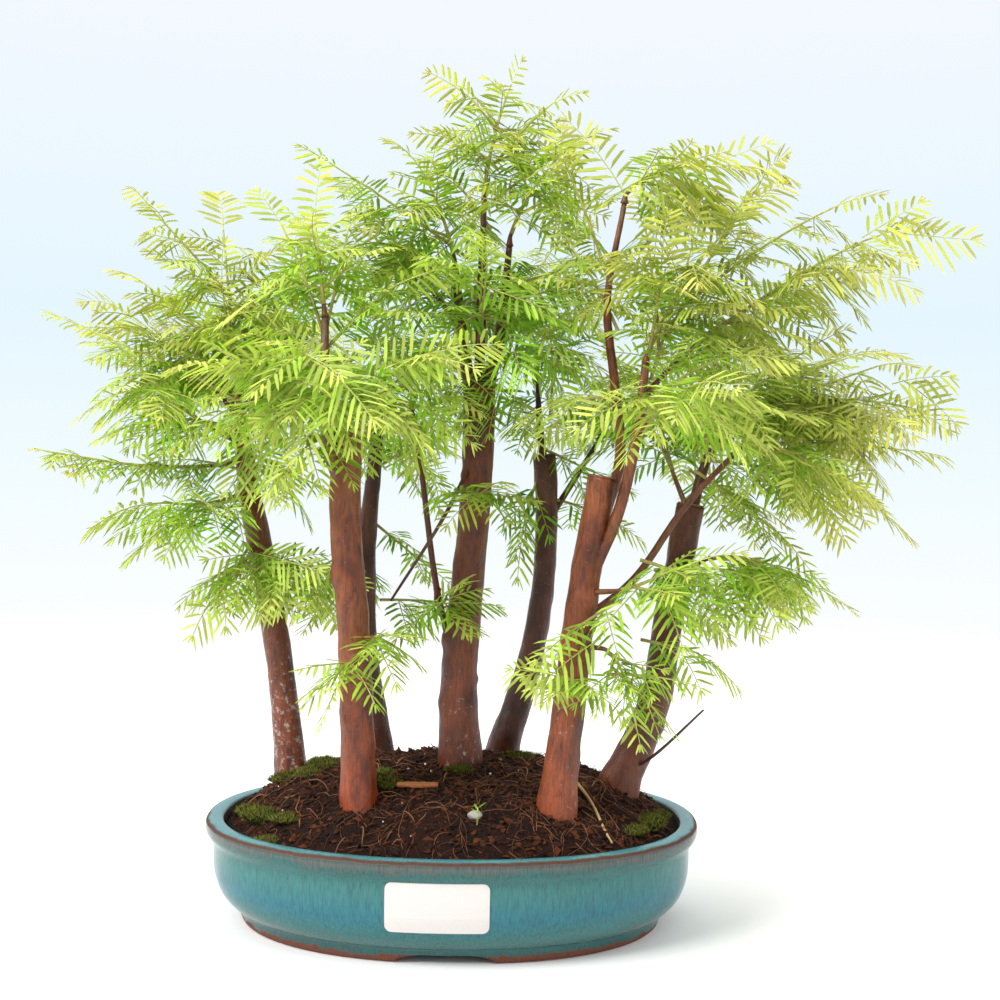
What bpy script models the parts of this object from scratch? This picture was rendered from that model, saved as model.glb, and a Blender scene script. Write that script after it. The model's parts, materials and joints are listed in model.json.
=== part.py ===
"""Dawn redwood bonsai forest: seven trunks in an oval glazed pot.

Metres, +Z up. The pot's length runs along X and its front faces -Y. Places in the tables are
in millimetres from the middle of the pot's foot. An empty carries everything, and its place
puts the middle of the whole plant's outline over the world origin, with the feet at Z = 0.
"""

import math
import random

import bmesh
import bpy
from mathutils import Vector, noise
from mathutils.bvhtree import BVHTree

MM = 0.001

# Pot: the rim's oval, its height, and the wall as (inset from the rim, height) in mm
RIM_LENGTH = 280 * MM
RIM_WIDTH = 200 * MM
OVAL_POWER = 2.15
OVAL_STEPS = 34
WIDTH_INSET = 0.8
POT_OUTSIDE = [(36, 7), (35.5, 0), (21.5, 0), (19.5, 8), (17, 9.2), (11.6, 14), (8, 19.5),
               (5.6, 27), (4.9, 35), (4.9, 45.5), (1.4, 49), (0, 53), (1.2, 57.5)]
POT_INSIDE = [(9.4, 57.5), (10.6, 56.2), (12.2, 50), (13.4, 34), (17, 21), (27, 13)]
FOOT_GAP_FRONT = 53 * MM
FOOT_GAP_END = 50 * MM
FOOT_GAP_HEIGHT = 5 * MM
DRAIN_OFFSET = 62 * MM
DRAIN_RADIUS = 8 * MM
DRAIN_ENDS = (2 * MM, 18 * MM)
FLOOR_TOP = POT_INSIDE[-1][1] * MM
FOOT_TOP = 8
BEYOND_POT = 200 * MM

# Drain screens: plastic mesh squares on the pot's floor, with a grid of square holes
SCREEN_SIDE = 26 * MM
SCREEN_THICK = 0.8 * MM
SCREEN_HOLES = 2
SCREEN_BAR = 3 * MM
SCREEN_ROOM = 2 * MM

# Label: a blank paper rectangle on the front wall
LABEL_X = -4 * MM
LABEL_WIDTH = 53 * MM
LABEL_BOTTOM = 20 * MM
LABEL_TOP = 46 * MM
LABEL_THICK = 0.5 * MM
LABEL_GAP = 0.4 * MM
LABEL_COLUMNS = 7
LABEL_ROWS = 3

# Sides of a tube, as a curve's bevel resolution: square, eight-sided and twelve-sided
SQUARE = 0
EIGHT = 2
ROUND = 4

# Soil: its wall inside the pot, and the mound over it
GAP = 0.3 * MM
SOIL_INSET = 0.4
SOIL_EDGE = (11.8, 52.5)
MOUND_RISE = 32 * MM
MOUND_POWER = 3.2
MOUND_BACK = 18 * MM
MOUND_LUMPS = 2.6 * MM
LUMPS_PER_METRE = 38
LUMPS_FADE = 6
MOUND_RINGS = [0.93, 0.8, 0.62, 0.42, 0.2]
TRUNK_FOOT = 32 * MM

# Stems: (trunk, points in mm, radius at each point in mm); the first seven are the trunks
STEMS = {
    "trunk_1": ("trunk_1", [(-97, 31, 66), (-104, 31, 125), (-113, 31, 180), (-123, 31, 228),
                            (-129, 31, 262), (-132, 31, 290)], [9.2, 8, 7.4, 7, 5, 3.2]),
    "trunk_2": ("trunk_2", [(-49, -45, 68), (-51, -45, 118), (-54, -45, 172), (-59, -45, 226),
                            (-58, -45, 274)], [9.6, 8.9, 8.6, 8.4, 8]),
    "trunk_3": ("trunk_3", [(-46, 60, 74), (-56, 60, 139), (-58, 60, 200), (-54, 60, 255),
                            (-52, 60, 288)], [7.4, 6.2, 6, 4.4, 3]),
    "trunk_4": ("trunk_4", [(4, 5, 80), (2, 5, 127), (4.5, 5, 167), (7.4, 5, 202),
                            (10.6, 5, 248), (11, 5, 303)], [12.8, 10.7, 9.8, 9.2, 8.7, 9.4]),
    "trunk_5": ("trunk_5", [(27, 60, 76), (39, 60, 116), (47, 60, 150), (52, 60, 187),
                            (53, 60, 230), (51, 60, 264)], [10, 8.4, 7.4, 6.8, 6.8, 7.2]),
    "trunk_6": ("trunk_6", [(57, -45, 68), (62, -45, 115), (66, -45, 158), (72, -45, 206),
                            (79, -45, 251)], [9.8, 9, 8.6, 8, 7.6]),
    "trunk_7": ("trunk_7", [(95, 5, 70), (107, 5, 99), (117, 5, 129), (122, 5, 167),
                            (128, 5, 201), (134, 5, 236)], [11, 9.8, 9, 8.6, 8.2, 8]),
    "ridged_stem": ("trunk_2", [(-58, -45, 236), (-67, -51, 262), (-70, -52, 300),
                                (-71, -48, 334)], [4, 5, 4, 2.6]),
    "left_fork": ("trunk_4", [(10, 5, 282), (2, 3, 322), (-4, 2, 370)], [5.5, 5, 2.6]),
    "right_fork": ("trunk_4", [(12, 5, 286), (22, 6, 330), (27, 0, 382)], [5.5, 4.6, 2.4]),
    "leader": ("trunk_4", [(11, 7, 292), (11, 9, 345), (12, 8, 408)], [5, 4, 2]),
    "thin_side_stem": ("trunk_4", [(0, 4, 140), (-12, 0, 190), (-20, 0, 245), (-28, 0, 293)],
                       [2.8, 2.6, 2.2, 1.6]),
    "bare_twig": ("trunk_4", [(9, 3, 262), (-8, -12, 226), (-36, -19, 180)], [1.8, 1.5, 1]),
    "stub_stem": ("trunk_5", [(52, 60, 252), (48, 62, 282), (46, 64, 310)], [3.4, 3, 2]),
    "back_stem": ("trunk_5", [(53, 60, 222), (68, 64, 246), (85, 70, 274)], [3, 2.6, 2]),
    "twin_stem": ("trunk_6", [(69, -45, 186), (87, -52, 232), (96, -54, 274), (100, -54, 312)],
                  [4.4, 4.4, 4, 2.8]),
    "bare_stem": ("trunk_6", [(72, -43, 204), (88, -42, 258), (85, -42, 300), (80, -43, 346),
                              (88, -45, 398)], [4, 4, 3.6, 2.8, 2]),
    "crossing_stem": ("trunk_6", [(67, -45, 172), (98, -36, 196), (126, -30, 236),
                                  (152, -24, 264)], [3.4, 3, 2.6, 2]),
    "right_stem": ("trunk_7", [(133, 5, 222), (140, 8, 252), (150, 10, 280)], [4.6, 4.2, 2.8]),
    "dead_twig": ("trunk_7", [(98, 3, 82), (114, -9, 94), (141, -13, 121)], [1.6, 1.3, 0.8]),
}

# Shoots: (stem it grows on, share of that stem's length, start, tip, side pairs of fronds,
# frond length in mm); the wood from the stem to the start belongs to the stem's trunk
SHOOTS = {
    "t1_leader": ("trunk_1", 1.0, (-133, 31, 298), (-142, 34, 378), 3, 48),
    "t1_far_left": ("trunk_1", 0.86, (-148, 27, 254), (-206, 4, 256), 2, 40),
    "t1_upper_left": ("trunk_1", 0.96, (-147, 37, 298), (-196, 50, 340), 2, 46),
    "t1_left": ("trunk_1", 0.9, (-146, 18, 276), (-182, -8, 310), 2, 50),
    "t1_low": ("trunk_1", 0.78, (-138, 21, 234), (-160, -4, 232), 1, 50),
    "t1_hang": ("trunk_1", 0.64, (-121, 14, 203), (-128, -10, 190), 1, 42),
    "t1_hang_right": ("trunk_1", 0.62, (-107, 19, 200), (-88, 2, 188), 1, 44),
    "t1_back": ("trunk_1", 0.94, (-122, 48, 298), (-112, 84, 376), 2, 50),
    "t1_back_left": ("trunk_1", 0.88, (-138, 52, 284), (-166, 92, 350), 1, 58),
    "t2_leader": ("ridged_stem", 1.0, (-72, -47, 341), (-76, -42, 370), 2, 44),
    "t2_right": ("trunk_2", 0.94, (-47, -58, 282), (-24, -74, 304), 2, 46),
    "t2_left": ("ridged_stem", 0.5, (-82, -66, 288), (-98, -86, 296), 1, 48),
    "t2_front": ("ridged_stem", 0.6, (-68, -68, 298), (-70, -100, 306), 1, 58),
    "t2_small": ("trunk_2", 0.38, (-53, -60, 151), (-55, -66, 149), 0, 34),
    "t2_small_right": ("trunk_2", 0.46, (-41, -54, 164), (-37, -58, 165), 0, 34),
    "t3_top": ("trunk_3", 1.0, (-51, 61, 296), (-46, 78, 340), 1, 58),
    "t3_low": ("trunk_3", 0.64, (-66, 67, 211), (-72, 74, 190), 1, 44),
    "t3_back": ("trunk_3", 0.88, (-59, 76, 268), (-74, 108, 300), 1, 50),
    "t4_top": ("leader", 1.0, (12, 8, 415), (22, 10, 464), 3, 38),
    "t4_left_up": ("left_fork", 1.0, (-5, 1, 377), (-16, -8, 408), 2, 44),
    "t4_far_left": ("left_fork", 0.6, (-18, 9, 358), (-48, 22, 398), 2, 46),
    "t4_right_up": ("right_fork", 1.0, (28, -2, 389), (46, -18, 420), 2, 44),
    "t4_right_back": ("right_fork", 0.5, (29, 22, 346), (48, 56, 382), 1, 58),
    "t4_front": ("leader", 0.3, (12, -14, 334), (14, -50, 350), 1, 58),
    "t4_back": ("left_fork", 0.5, (-2, 22, 344), (-14, 68, 384), 1, 58),
    "t4_mid": ("trunk_4", 0.7, (13, -13, 240), (16, -24, 243), 0, 40),
    "t4_low": ("thin_side_stem", 0.3, (-10, -10, 178), (-6, -18, 181), 0, 36),
    "t5_top": ("stub_stem", 1.0, (46, 65, 317), (50, 72, 342), 1, 44),
    "t5_right": ("back_stem", 1.0, (87, 71, 280), (92, 84, 298), 1, 42),
    "t6_bare_top": ("bare_stem", 1.0, (90, -46, 404), (116, -52, 416), 2, 50),
    "t6_diagonal": ("twin_stem", 1.0, (102, -55, 320), (132, -66, 372), 2, 50),
    "t6_diagonal_right": ("twin_stem", 0.85, (118, -46, 314), (214, -24, 380), 3, 52),
    "t6_front": ("twin_stem", 0.7, (101, -72, 282), (110, -98, 292), 1, 58),
    "t6_small": ("trunk_6", 0.4, (65, -61, 143), (61, -66, 146), 0, 36),
    "t6_low_right": ("trunk_6", 0.5, (83, -54, 158), (90, -62, 148), 1, 36),
    "t6_mid_right": ("trunk_6", 0.66, (89, -60, 192), (106, -72, 200), 1, 46),
    "t7_right": ("right_stem", 1.0, (158, 10, 286), (236, 8, 298), 3, 50),
    "t7_upper_right": ("right_stem", 0.75, (160, 22, 284), (212, 38, 318), 2, 50),
    "t7_low_right": ("crossing_stem", 1.0, (159, -23, 268), (194, -34, 262), 1, 58),
    "t7_lower": ("trunk_7", 0.76, (146, -3, 206), (176, -12, 204), 2, 46),
    "t7_back": ("right_stem", 0.55, (152, 28, 276), (180, 68, 342), 2, 50),
    "t7_back_left": ("trunk_7", 0.97, (126, 27, 256), (118, 80, 320), 1, 58),
}
WOOD_TIP_RADIUS = 1.5 * MM
WOOD_ROOT_RADIUS = 2.2 * MM
WOOD_KNEE = 4 * MM
SHOOT_ROOT_RADIUS = 1.3 * MM
SHOOT_TIP_RADIUS = 0.8 * MM
END_LEAFLET_PAIRS = 4
SIDE_LEAFLET_PAIRS = 4
FROND_LENGTH = 50 * MM
FROND_BARE = 0.2
FROND_LEAFY = 0.72
FROND_DROOP = 0.22
FROND_FALL = 0.15
FROND_FORWARD = 0.62
FROND_OUTWARD = 0.8
FIRST_PAIR = 0.3
LAST_PAIR = 0.92
FROND_ROLL = 0.75
LEAFLET_LENGTH = 16 * MM
LEAFLET_SPREAD = 0.86
LEAFLET_SWEEP = 0.5
LEAFLET_DROOP = 0.16
END_LEAFLET = 0.2
RIB_WIDTH = 2 * MM
RIB_TAPER = 0.45
RIB_THICK = 1.4 * MM
FROND_TRIES = 40
FROND_CLEAR = 0.35 * MM

# Loose things on the soil: middle in mm, half sizes in mm
MOSS = {
    "moss_left": ((-104, -28), (13, 10, 4.5)),
    "moss_by_trunk": ((-76, 17), (11, 9, 5)),
    "moss_right": ((111, -22), (9, 10, 4.5)),
}
PEBBLE_AT = (14, -62)
PEBBLE_SIZE = (4.5, 3.5, 3)
CHIP_AT = (-18, -40)
CHIP_SIZE = (22, 7, 3)
STRAW_ENDS = [(70, -22), (88, -58)]
STRAW_RADIUS = 0.9 * MM

COLOURS = {
    "glaze": (0.045, 0.22, 0.24, 0.25),
    "earth": (0.035, 0.02, 0.014, 0.95),
    "bark": (0.2, 0.075, 0.045, 0.75),
    "leaf": (0.16, 0.36, 0.035, 0.5),
    "moss": (0.07, 0.12, 0.02, 0.95),
    "stone": (0.5, 0.46, 0.4, 0.8),
    "wood": (0.42, 0.2, 0.09, 0.8),
    "paper": (0.85, 0.85, 0.83, 0.7),
    "plastic": (0.03, 0.03, 0.03, 0.5),
}


def material(name):
    """One Principled material for a kind of surface: its colour and roughness."""
    if name in bpy.data.materials:
        return bpy.data.materials[name]
    red, green, blue, rough = COLOURS[name]
    made = bpy.data.materials.new(name)
    made.use_nodes = True
    shader = made.node_tree.nodes["Principled BSDF"]
    shader.inputs["Base Color"].default_value = (red, green, blue, 1)
    shader.inputs["Roughness"].default_value = rough
    shader.inputs["Metallic"].default_value = 0
    return made


def place(x, y, z):
    """A point of the tables, in metres."""
    return Vector((x, y, z)) * MM


def mesh_object(name, verts, faces, collection, surface=None):
    """An object from points and faces, in the given collection."""
    mesh = bpy.data.meshes.new(name)
    mesh.from_pydata([tuple(v) for v in verts], [], faces)
    mesh.validate()
    made = bpy.data.objects.new(name, mesh)
    if surface:
        mesh.materials.append(material(surface))
    collection.objects.link(made)
    return made


def oval(half_length, half_width, z, steps=OVAL_STEPS):
    """A ring of points on an oval with slightly full corners."""
    ring = []
    for i in range(steps):
        turn = 2 * math.pi * i / steps
        across, along = math.cos(turn), math.sin(turn)
        x = math.copysign(abs(across) ** (2 / OVAL_POWER), across)
        y = math.copysign(abs(along) ** (2 / OVAL_POWER), along)
        ring.append(Vector((half_length * x, half_width * y, z)))
    return ring


def wall_ring(inset, height):
    """The pot's oval at an inset from the rim, both in mm."""
    return oval(RIM_LENGTH / 2 - inset * MM, RIM_WIDTH / 2 - inset * WIDTH_INSET * MM,
                height * MM)


def loft(name, rings, collection, surface=None):
    """A closed body through rings of equal count, with a face over the first and last."""
    steps = len(rings[0])
    verts = [point for ring in rings for point in ring]
    faces = [list(reversed(range(steps)))]
    for r in range(len(rings) - 1):
        low, high = r * steps, (r + 1) * steps
        for i in range(steps):
            j = (i + 1) % steps
            faces.append([low + i, low + j, high + j, high + i])
    faces.append([(len(rings) - 1) * steps + i for i in range(steps)])
    made = mesh_object(name, verts, faces, collection, surface)
    face_outward(made)
    return made


def face_outward(item):
    """Turn every face of a closed mesh outward."""
    shape = bmesh.new()
    shape.from_mesh(item.data)
    bmesh.ops.recalc_face_normals(shape, faces=shape.faces)
    shape.to_mesh(item.data)
    shape.free()


def box(name, low, high, collection):
    """A box between two corners."""
    shape = bmesh.new()
    bmesh.ops.create_cube(shape, size=1)
    low, high = Vector(low), Vector(high)
    bmesh.ops.scale(shape, vec=high - low, verts=shape.verts)
    bmesh.ops.translate(shape, vec=(low + high) / 2, verts=shape.verts)
    mesh = bpy.data.meshes.new(name)
    shape.to_mesh(mesh)
    shape.free()
    made = bpy.data.objects.new(name, mesh)
    collection.objects.link(made)
    return made


def tube(name, points, radii, resolution, collection, surface=None):
    """A capped tube along straight runs, from a bevelled curve made into a mesh."""
    curve = bpy.data.curves.new(name, "CURVE")
    curve.dimensions = "3D"
    curve.bevel_depth = 1
    curve.bevel_resolution = resolution
    curve.use_fill_caps = True
    run = curve.splines.new("POLY")
    run.points.add(len(points) - 1)
    for knot, point, radius in zip(run.points, points, radii):
        knot.co = (*point, 1)
        knot.radius = radius
    guide = bpy.data.objects.new(name, curve)
    collection.objects.link(guide)
    made = as_mesh(name, guide, collection, surface)
    shape = bmesh.new()
    shape.from_mesh(made.data)
    bmesh.ops.remove_doubles(shape, verts=shape.verts, dist=1e-6)
    bmesh.ops.recalc_face_normals(shape, faces=shape.faces)
    shape.to_mesh(made.data)
    shape.free()
    return made


def as_mesh(name, item, collection, surface=None):
    """Replace an object by the mesh it evaluates to."""
    graph = bpy.context.evaluated_depsgraph_get()
    mesh = bpy.data.meshes.new_from_object(item.evaluated_get(graph))
    mesh.materials.clear()
    if surface:
        mesh.materials.append(material(surface))
    made = bpy.data.objects.new(name, mesh)
    made.matrix_world = item.matrix_world
    bpy.data.objects.remove(item)
    made.name = name
    collection.objects.link(made)
    return made


def combine(item, others, operation, collection, surface, solver="EXACT"):
    """Join others to an object, or cut them from it, in one Boolean, and remove them."""
    group = bpy.data.collections.new("group")
    bpy.context.scene.collection.children.link(group)
    for other in others:
        for home in list(other.users_collection):
            home.objects.unlink(other)
        group.objects.link(other)
    change = item.modifiers.new("combine", "BOOLEAN")
    change.operation = operation
    change.operand_type = "COLLECTION"
    change.collection = group
    change.solver = solver
    name = item.name
    made = as_mesh(name, item, collection, surface)
    for other in list(group.objects):
        bpy.data.objects.remove(other)
    bpy.data.collections.remove(group)
    return made


def tree_of(item):
    """The faces of an object as a search tree."""
    mesh = item.data
    return BVHTree.FromPolygons([v.co.copy() for v in mesh.vertices],
                                [tuple(p.vertices) for p in mesh.polygons])


def wall_y(x, z):
    """Where the front of the pot's wall lies at a given x and height, above the foot."""
    for (inset_a, low), (inset_b, high) in zip(POT_OUTSIDE, POT_OUTSIDE[1:]):
        if low * MM <= z <= high * MM and low >= FOOT_TOP:
            share = (z / MM - low) / (high - low)
            inset = (inset_a + (inset_b - inset_a) * share) * MM
            reach = abs(x) / (RIM_LENGTH / 2 - inset)
            width = RIM_WIDTH / 2 - inset * WIDTH_INSET
            return -width * (1 - reach ** OVAL_POWER) ** (1 / OVAL_POWER)
    raise ValueError("no wall at this height")


def make_pot(parts, cutters):
    """The oval pot: a wall lofted outside and in, four feet and two drain holes."""
    rings = [wall_ring(*step) for step in POT_OUTSIDE + POT_INSIDE]
    pot = loft("pot", rings, parts, "glaze")
    half_front, half_end = FOOT_GAP_FRONT / 2, FOOT_GAP_END / 2
    cuts = [box("front_gap", (-half_front, -BEYOND_POT, -FOOT_GAP_HEIGHT),
                (half_front, BEYOND_POT, FOOT_GAP_HEIGHT), cutters),
            box("end_gap", (-BEYOND_POT, -half_end, -FOOT_GAP_HEIGHT),
                (BEYOND_POT, half_end, FOOT_GAP_HEIGHT), cutters)]
    for side in (-1, 1):
        ends = [Vector((side * DRAIN_OFFSET, 0, z)) for z in DRAIN_ENDS]
        cuts.append(tube("drain", ends, [DRAIN_RADIUS] * 2, ROUND, cutters))
    return combine(pot, cuts, "DIFFERENCE", parts, "glaze")


def make_screens(parts, cutters):
    """The two mesh squares that lie over the drain holes."""
    half = SCREEN_SIDE / 2
    low = FLOOR_TOP + GAP
    hole = (SCREEN_SIDE - SCREEN_BAR * (SCREEN_HOLES + 1)) / SCREEN_HOLES
    for side, name in ((-1, "drain_screen_left"), (1, "drain_screen_right")):
        x = side * DRAIN_OFFSET
        plate = box(name, (x - half, -half, low), (x + half, half, low + SCREEN_THICK), parts)
        cuts = []
        for i in range(SCREEN_HOLES):
            for j in range(SCREEN_HOLES):
                left = x - half + SCREEN_BAR + i * (hole + SCREEN_BAR)
                front = -half + SCREEN_BAR + j * (hole + SCREEN_BAR)
                cuts.append(box("mesh_hole", (left, front, low - SCREEN_ROOM),
                                (left + hole, front + hole, low + SCREEN_ROOM), cutters))
        combine(plate, cuts, "DIFFERENCE", parts, "plastic")


def make_label(parts):
    """The blank paper label, bent to the front wall."""
    columns, rows = LABEL_COLUMNS, LABEL_ROWS
    front, back = [], []
    for row in range(rows + 1):
        z = LABEL_BOTTOM + (LABEL_TOP - LABEL_BOTTOM) * row / rows
        for column in range(columns + 1):
            x = LABEL_X + LABEL_WIDTH * (column / columns - 0.5)
            y = wall_y(x, z) - LABEL_GAP
            back.append(Vector((x, y, z)))
            front.append(Vector((x, y - LABEL_THICK, z)))
    wide, count = columns + 1, len(front)
    faces = []
    for row in range(rows):
        for column in range(columns):
            a = row * wide + column
            quad = [a, a + 1, a + wide + 1, a + wide]
            faces.append(quad)
            faces.append([count + k for k in reversed(quad)])
    edge = list(range(wide)) + [r * wide + columns for r in range(1, rows + 1)]
    edge += [rows * wide + c for c in range(columns - 1, -1, -1)]
    edge += [r * wide for r in range(rows - 1, 0, -1)]
    for a, b in zip(edge, edge[1:] + edge[:1]):
        faces.append([b, a, a + count, b + count])
    face_outward(mesh_object("label", front + back, faces, parts, "paper"))


def mound_height(x, y, share):
    """The soil's height at a place that lies at a share of the way to its edge."""
    back = MOUND_BACK
    half_length = RIM_LENGTH / 2 - SOIL_EDGE[0] * MM
    half_width = RIM_WIDTH / 2 - SOIL_EDGE[0] * WIDTH_INSET * MM
    reach = half_width - back if y > back else half_width + back
    away = math.hypot(x / half_length, (y - back) / reach)
    rise = max(0, 1 - away ** MOUND_POWER) * MOUND_RISE
    fade = min(1, (1 - share) * LUMPS_FADE)
    lumps = noise.noise(Vector((x, y, 0)) * LUMPS_PER_METRE) * MOUND_LUMPS * fade
    return SOIL_EDGE[1] * MM + rise + lumps


def make_soil_block(name, collection, raised=0):
    """The root mass before its holes: the pot's inside below, the mound on top."""
    rings = [wall_ring(inset + SOIL_INSET, height + SOIL_INSET)
             for inset, height in reversed(POT_INSIDE[2:])]
    rings.append(wall_ring(*SOIL_EDGE))
    edge = rings[-1]
    for share in MOUND_RINGS:
        rings.append([Vector((p.x * share, p.y * share,
                              mound_height(p.x * share, p.y * share, share))) for p in edge])
    block = loft(name, rings, collection, "earth")
    shape = bmesh.new()
    shape.from_mesh(block.data)
    shape.faces.ensure_lookup_table()
    top = bmesh.ops.poke(shape, faces=[shape.faces[-1]])["verts"][0]
    top.co.z = mound_height(top.co.x, top.co.y, 0)
    bmesh.ops.triangulate(shape, faces=shape.faces)
    bmesh.ops.translate(shape, vec=(0, 0, raised), verts=shape.verts)
    shape.to_mesh(block.data)
    shape.free()
    return block


def trunk_points(name, gap=0):
    """A trunk's line from its foot in the soil up, with its radii grown by a gap."""
    _, points, radii = STEMS[name]
    line = [place(*p) for p in points]
    first = line[0]
    foot = Vector((first.x, first.y, TRUNK_FOOT - gap))
    return [foot] + line, [radii[0] * MM + gap] + [r * MM + gap for r in radii]


def make_soil(parts, cutters):
    """The soil with a plain hole for each trunk and a shallow seat over each screen."""
    soil = make_soil_block("soil", parts)
    cuts = []
    for name in [key for key in STEMS if key.startswith("trunk")]:
        line, radii = trunk_points(name, GAP)
        cuts.append(tube("hole", line, radii, EIGHT, cutters))
    half = SCREEN_SIDE / 2 + GAP * 2
    for side in (-1, 1):
        x = side * DRAIN_OFFSET
        cuts.append(box("seat", (x - half, -half, FLOOR_TOP - SCREEN_ROOM),
                        (x + half, half, FLOOR_TOP + SCREEN_THICK + 2 * GAP), cutters))
    return combine(soil, cuts, "DIFFERENCE", parts, "earth")


def on_line(points, share):
    """The point at a share of a line's length."""
    runs = [(b - a).length for a, b in zip(points, points[1:])]
    left = sum(runs) * share
    for (a, b), run in zip(zip(points, points[1:]), runs):
        if left <= run:
            return a.lerp(b, left / run)
        left -= run
    return points[-1].copy()


def bend(start, middle, end, share):
    """A point on the arc from start to end that leans towards middle."""
    return start.lerp(middle, share).lerp(middle.lerp(end, share), share)


def shoot_line(name):
    """Where a shoot's wood leaves its stem, its heading at the start, and its own points."""
    stem, share, start, tip, pairs, _ = SHOOTS[name]
    steps = 1 + (pairs + 1) // 2
    root = on_line([place(*p) for p in STEMS[stem][1]], share)
    start, tip = place(*start), place(*tip)
    lean = ((start - root).normalized() + (tip - start).normalized()).normalized()
    middle = start + lean * (tip - start).length / 2
    points = [bend(start, middle, tip, i / steps) for i in range(steps + 1)]
    heading = (points[1] - start).normalized()
    points[0] = start + heading * GAP
    return root, heading, points


def make_trunks(parts, cutters):
    """Each trunk with its stems and the wood out to its shoots, as one grown piece."""
    trunks = {}
    for name in [key for key in STEMS if key.startswith("trunk")]:
        line, radii = trunk_points(name)
        trunk = tube(name, line, radii, EIGHT, parts, "bark")
        limbs = []
        for stem, (owner, points, sizes) in STEMS.items():
            if owner == name and stem != name:
                limbs.append(tube("limb", [place(*p) for p in points],
                                  [r * MM for r in sizes], SQUARE, cutters))
        for shoot, (stem, _, start, _, _, _) in SHOOTS.items():
            if STEMS[stem][0] != name:
                continue
            root, heading, _ = shoot_line(shoot)
            start = place(*start)
            knee = start - heading * min(WOOD_KNEE, (start - root).length / 3)
            radii = [WOOD_ROOT_RADIUS, WOOD_TIP_RADIUS, WOOD_TIP_RADIUS]
            limbs.append(tube("limb", [root, knee, start], radii, SQUARE, cutters))
        trunks[name] = combine(trunk, limbs, "UNION", parts, "bark")
    return trunks


def frond_mesh(base, along, up, length, pairs, grow=0):
    """A frond: a drooping three-sided rib whose flanks are drawn out into leaflets."""
    side = along.cross(up).normalized()
    up = side.cross(along).normalized()
    shares = [0] + [FROND_BARE + FROND_LEAFY * i / pairs for i in range(pairs + 1)]
    verts, middles = [], []
    for share in shares:
        middle = base + along * length * share
        middle.z -= FROND_DROOP * length * share * share
        half = (RIB_WIDTH / 2) * (1 - RIB_TAPER * share)
        thick = RIB_THICK / 2 + grow
        verts += [middle - side * half + up * thick, middle + side * half + up * thick,
                  middle - up * thick]
        middles.append(middle)
    faces = [[0, 2, 1], [0, 1, 4, 3], [1, 2, 5, 4], [2, 0, 3, 5]]
    for i in range(1, len(shares) - 1):
        a, b = 3 * i, 3 * i + 3
        faces.append([a, a + 1, b + 1, b])
        reach = leaflet_reach((shares[i] + shares[i + 1]) / 2, length) + grow
        middle = (middles[i] + middles[i + 1]) / 2
        for turn, flank in ((1, [a + 1, a + 2, b + 2, b + 1]), (-1, [a + 2, a, b, b + 2])):
            tip = middle + side * turn * reach * LEAFLET_SPREAD + along * reach * LEAFLET_SWEEP
            tip.z -= reach * LEAFLET_DROOP
            draw_out(verts, faces, flank, tip)
    end = 3 * (len(shares) - 1)
    tip = middles[-1] + along * length * END_LEAFLET
    tip.z -= length * END_LEAFLET * FROND_DROOP * 2
    draw_out(verts, faces, [end, end + 1, end + 2], tip)
    return verts, faces


def leaflet_reach(share, length):
    """The leaflets are longest below the frond's middle and short near its end."""
    return LEAFLET_LENGTH * math.sin(math.pi * (0.22 + 0.62 * share)) * length / FROND_LENGTH


def draw_out(verts, faces, ring, tip):
    """Close a ring of points towards a tip."""
    point = len(verts)
    verts.append(tip)
    for p, q in zip(ring, ring[1:] + ring[:1]):
        faces.append([p, q, point])


def frond_places(name):
    """Every frond of a shoot: its base, heading, upper side, length and pairs of leaflets."""
    _, _, _, _, pairs, length = SHOOTS[name]
    _, _, points = shoot_line(name)
    places = []
    last = (points[-1] - points[-2]).normalized()
    sky = Vector((0, 0, 1))
    flat = last.cross(sky)
    if flat.length < 0.3:
        flat = Vector((1, 0, 0))
    places.append((points[-1] - last * MM, last, flat.cross(last), length * MM,
                   END_LEAFLET_PAIRS))
    for pair in range(pairs):
        share = FIRST_PAIR + (LAST_PAIR - FIRST_PAIR) * pair / pairs
        base = on_line(points, share)
        ahead = (on_line(points, share + 0.05) - base).normalized()
        across = ahead.cross(sky)
        if across.length < 0.5:
            turn = math.pi / 2 * pair
            across = Vector((math.cos(turn), math.sin(turn), 0))
        across.normalize()
        for side in (-1, 1):
            heading = ahead * FROND_FORWARD + across * side * FROND_OUTWARD - sky * FROND_FALL
            places.append((base + across * side * SHOOT_TIP_RADIUS / 2, heading.normalized(),
                           sky, length * MM, SIDE_LEAFLET_PAIRS))
    return places


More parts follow.
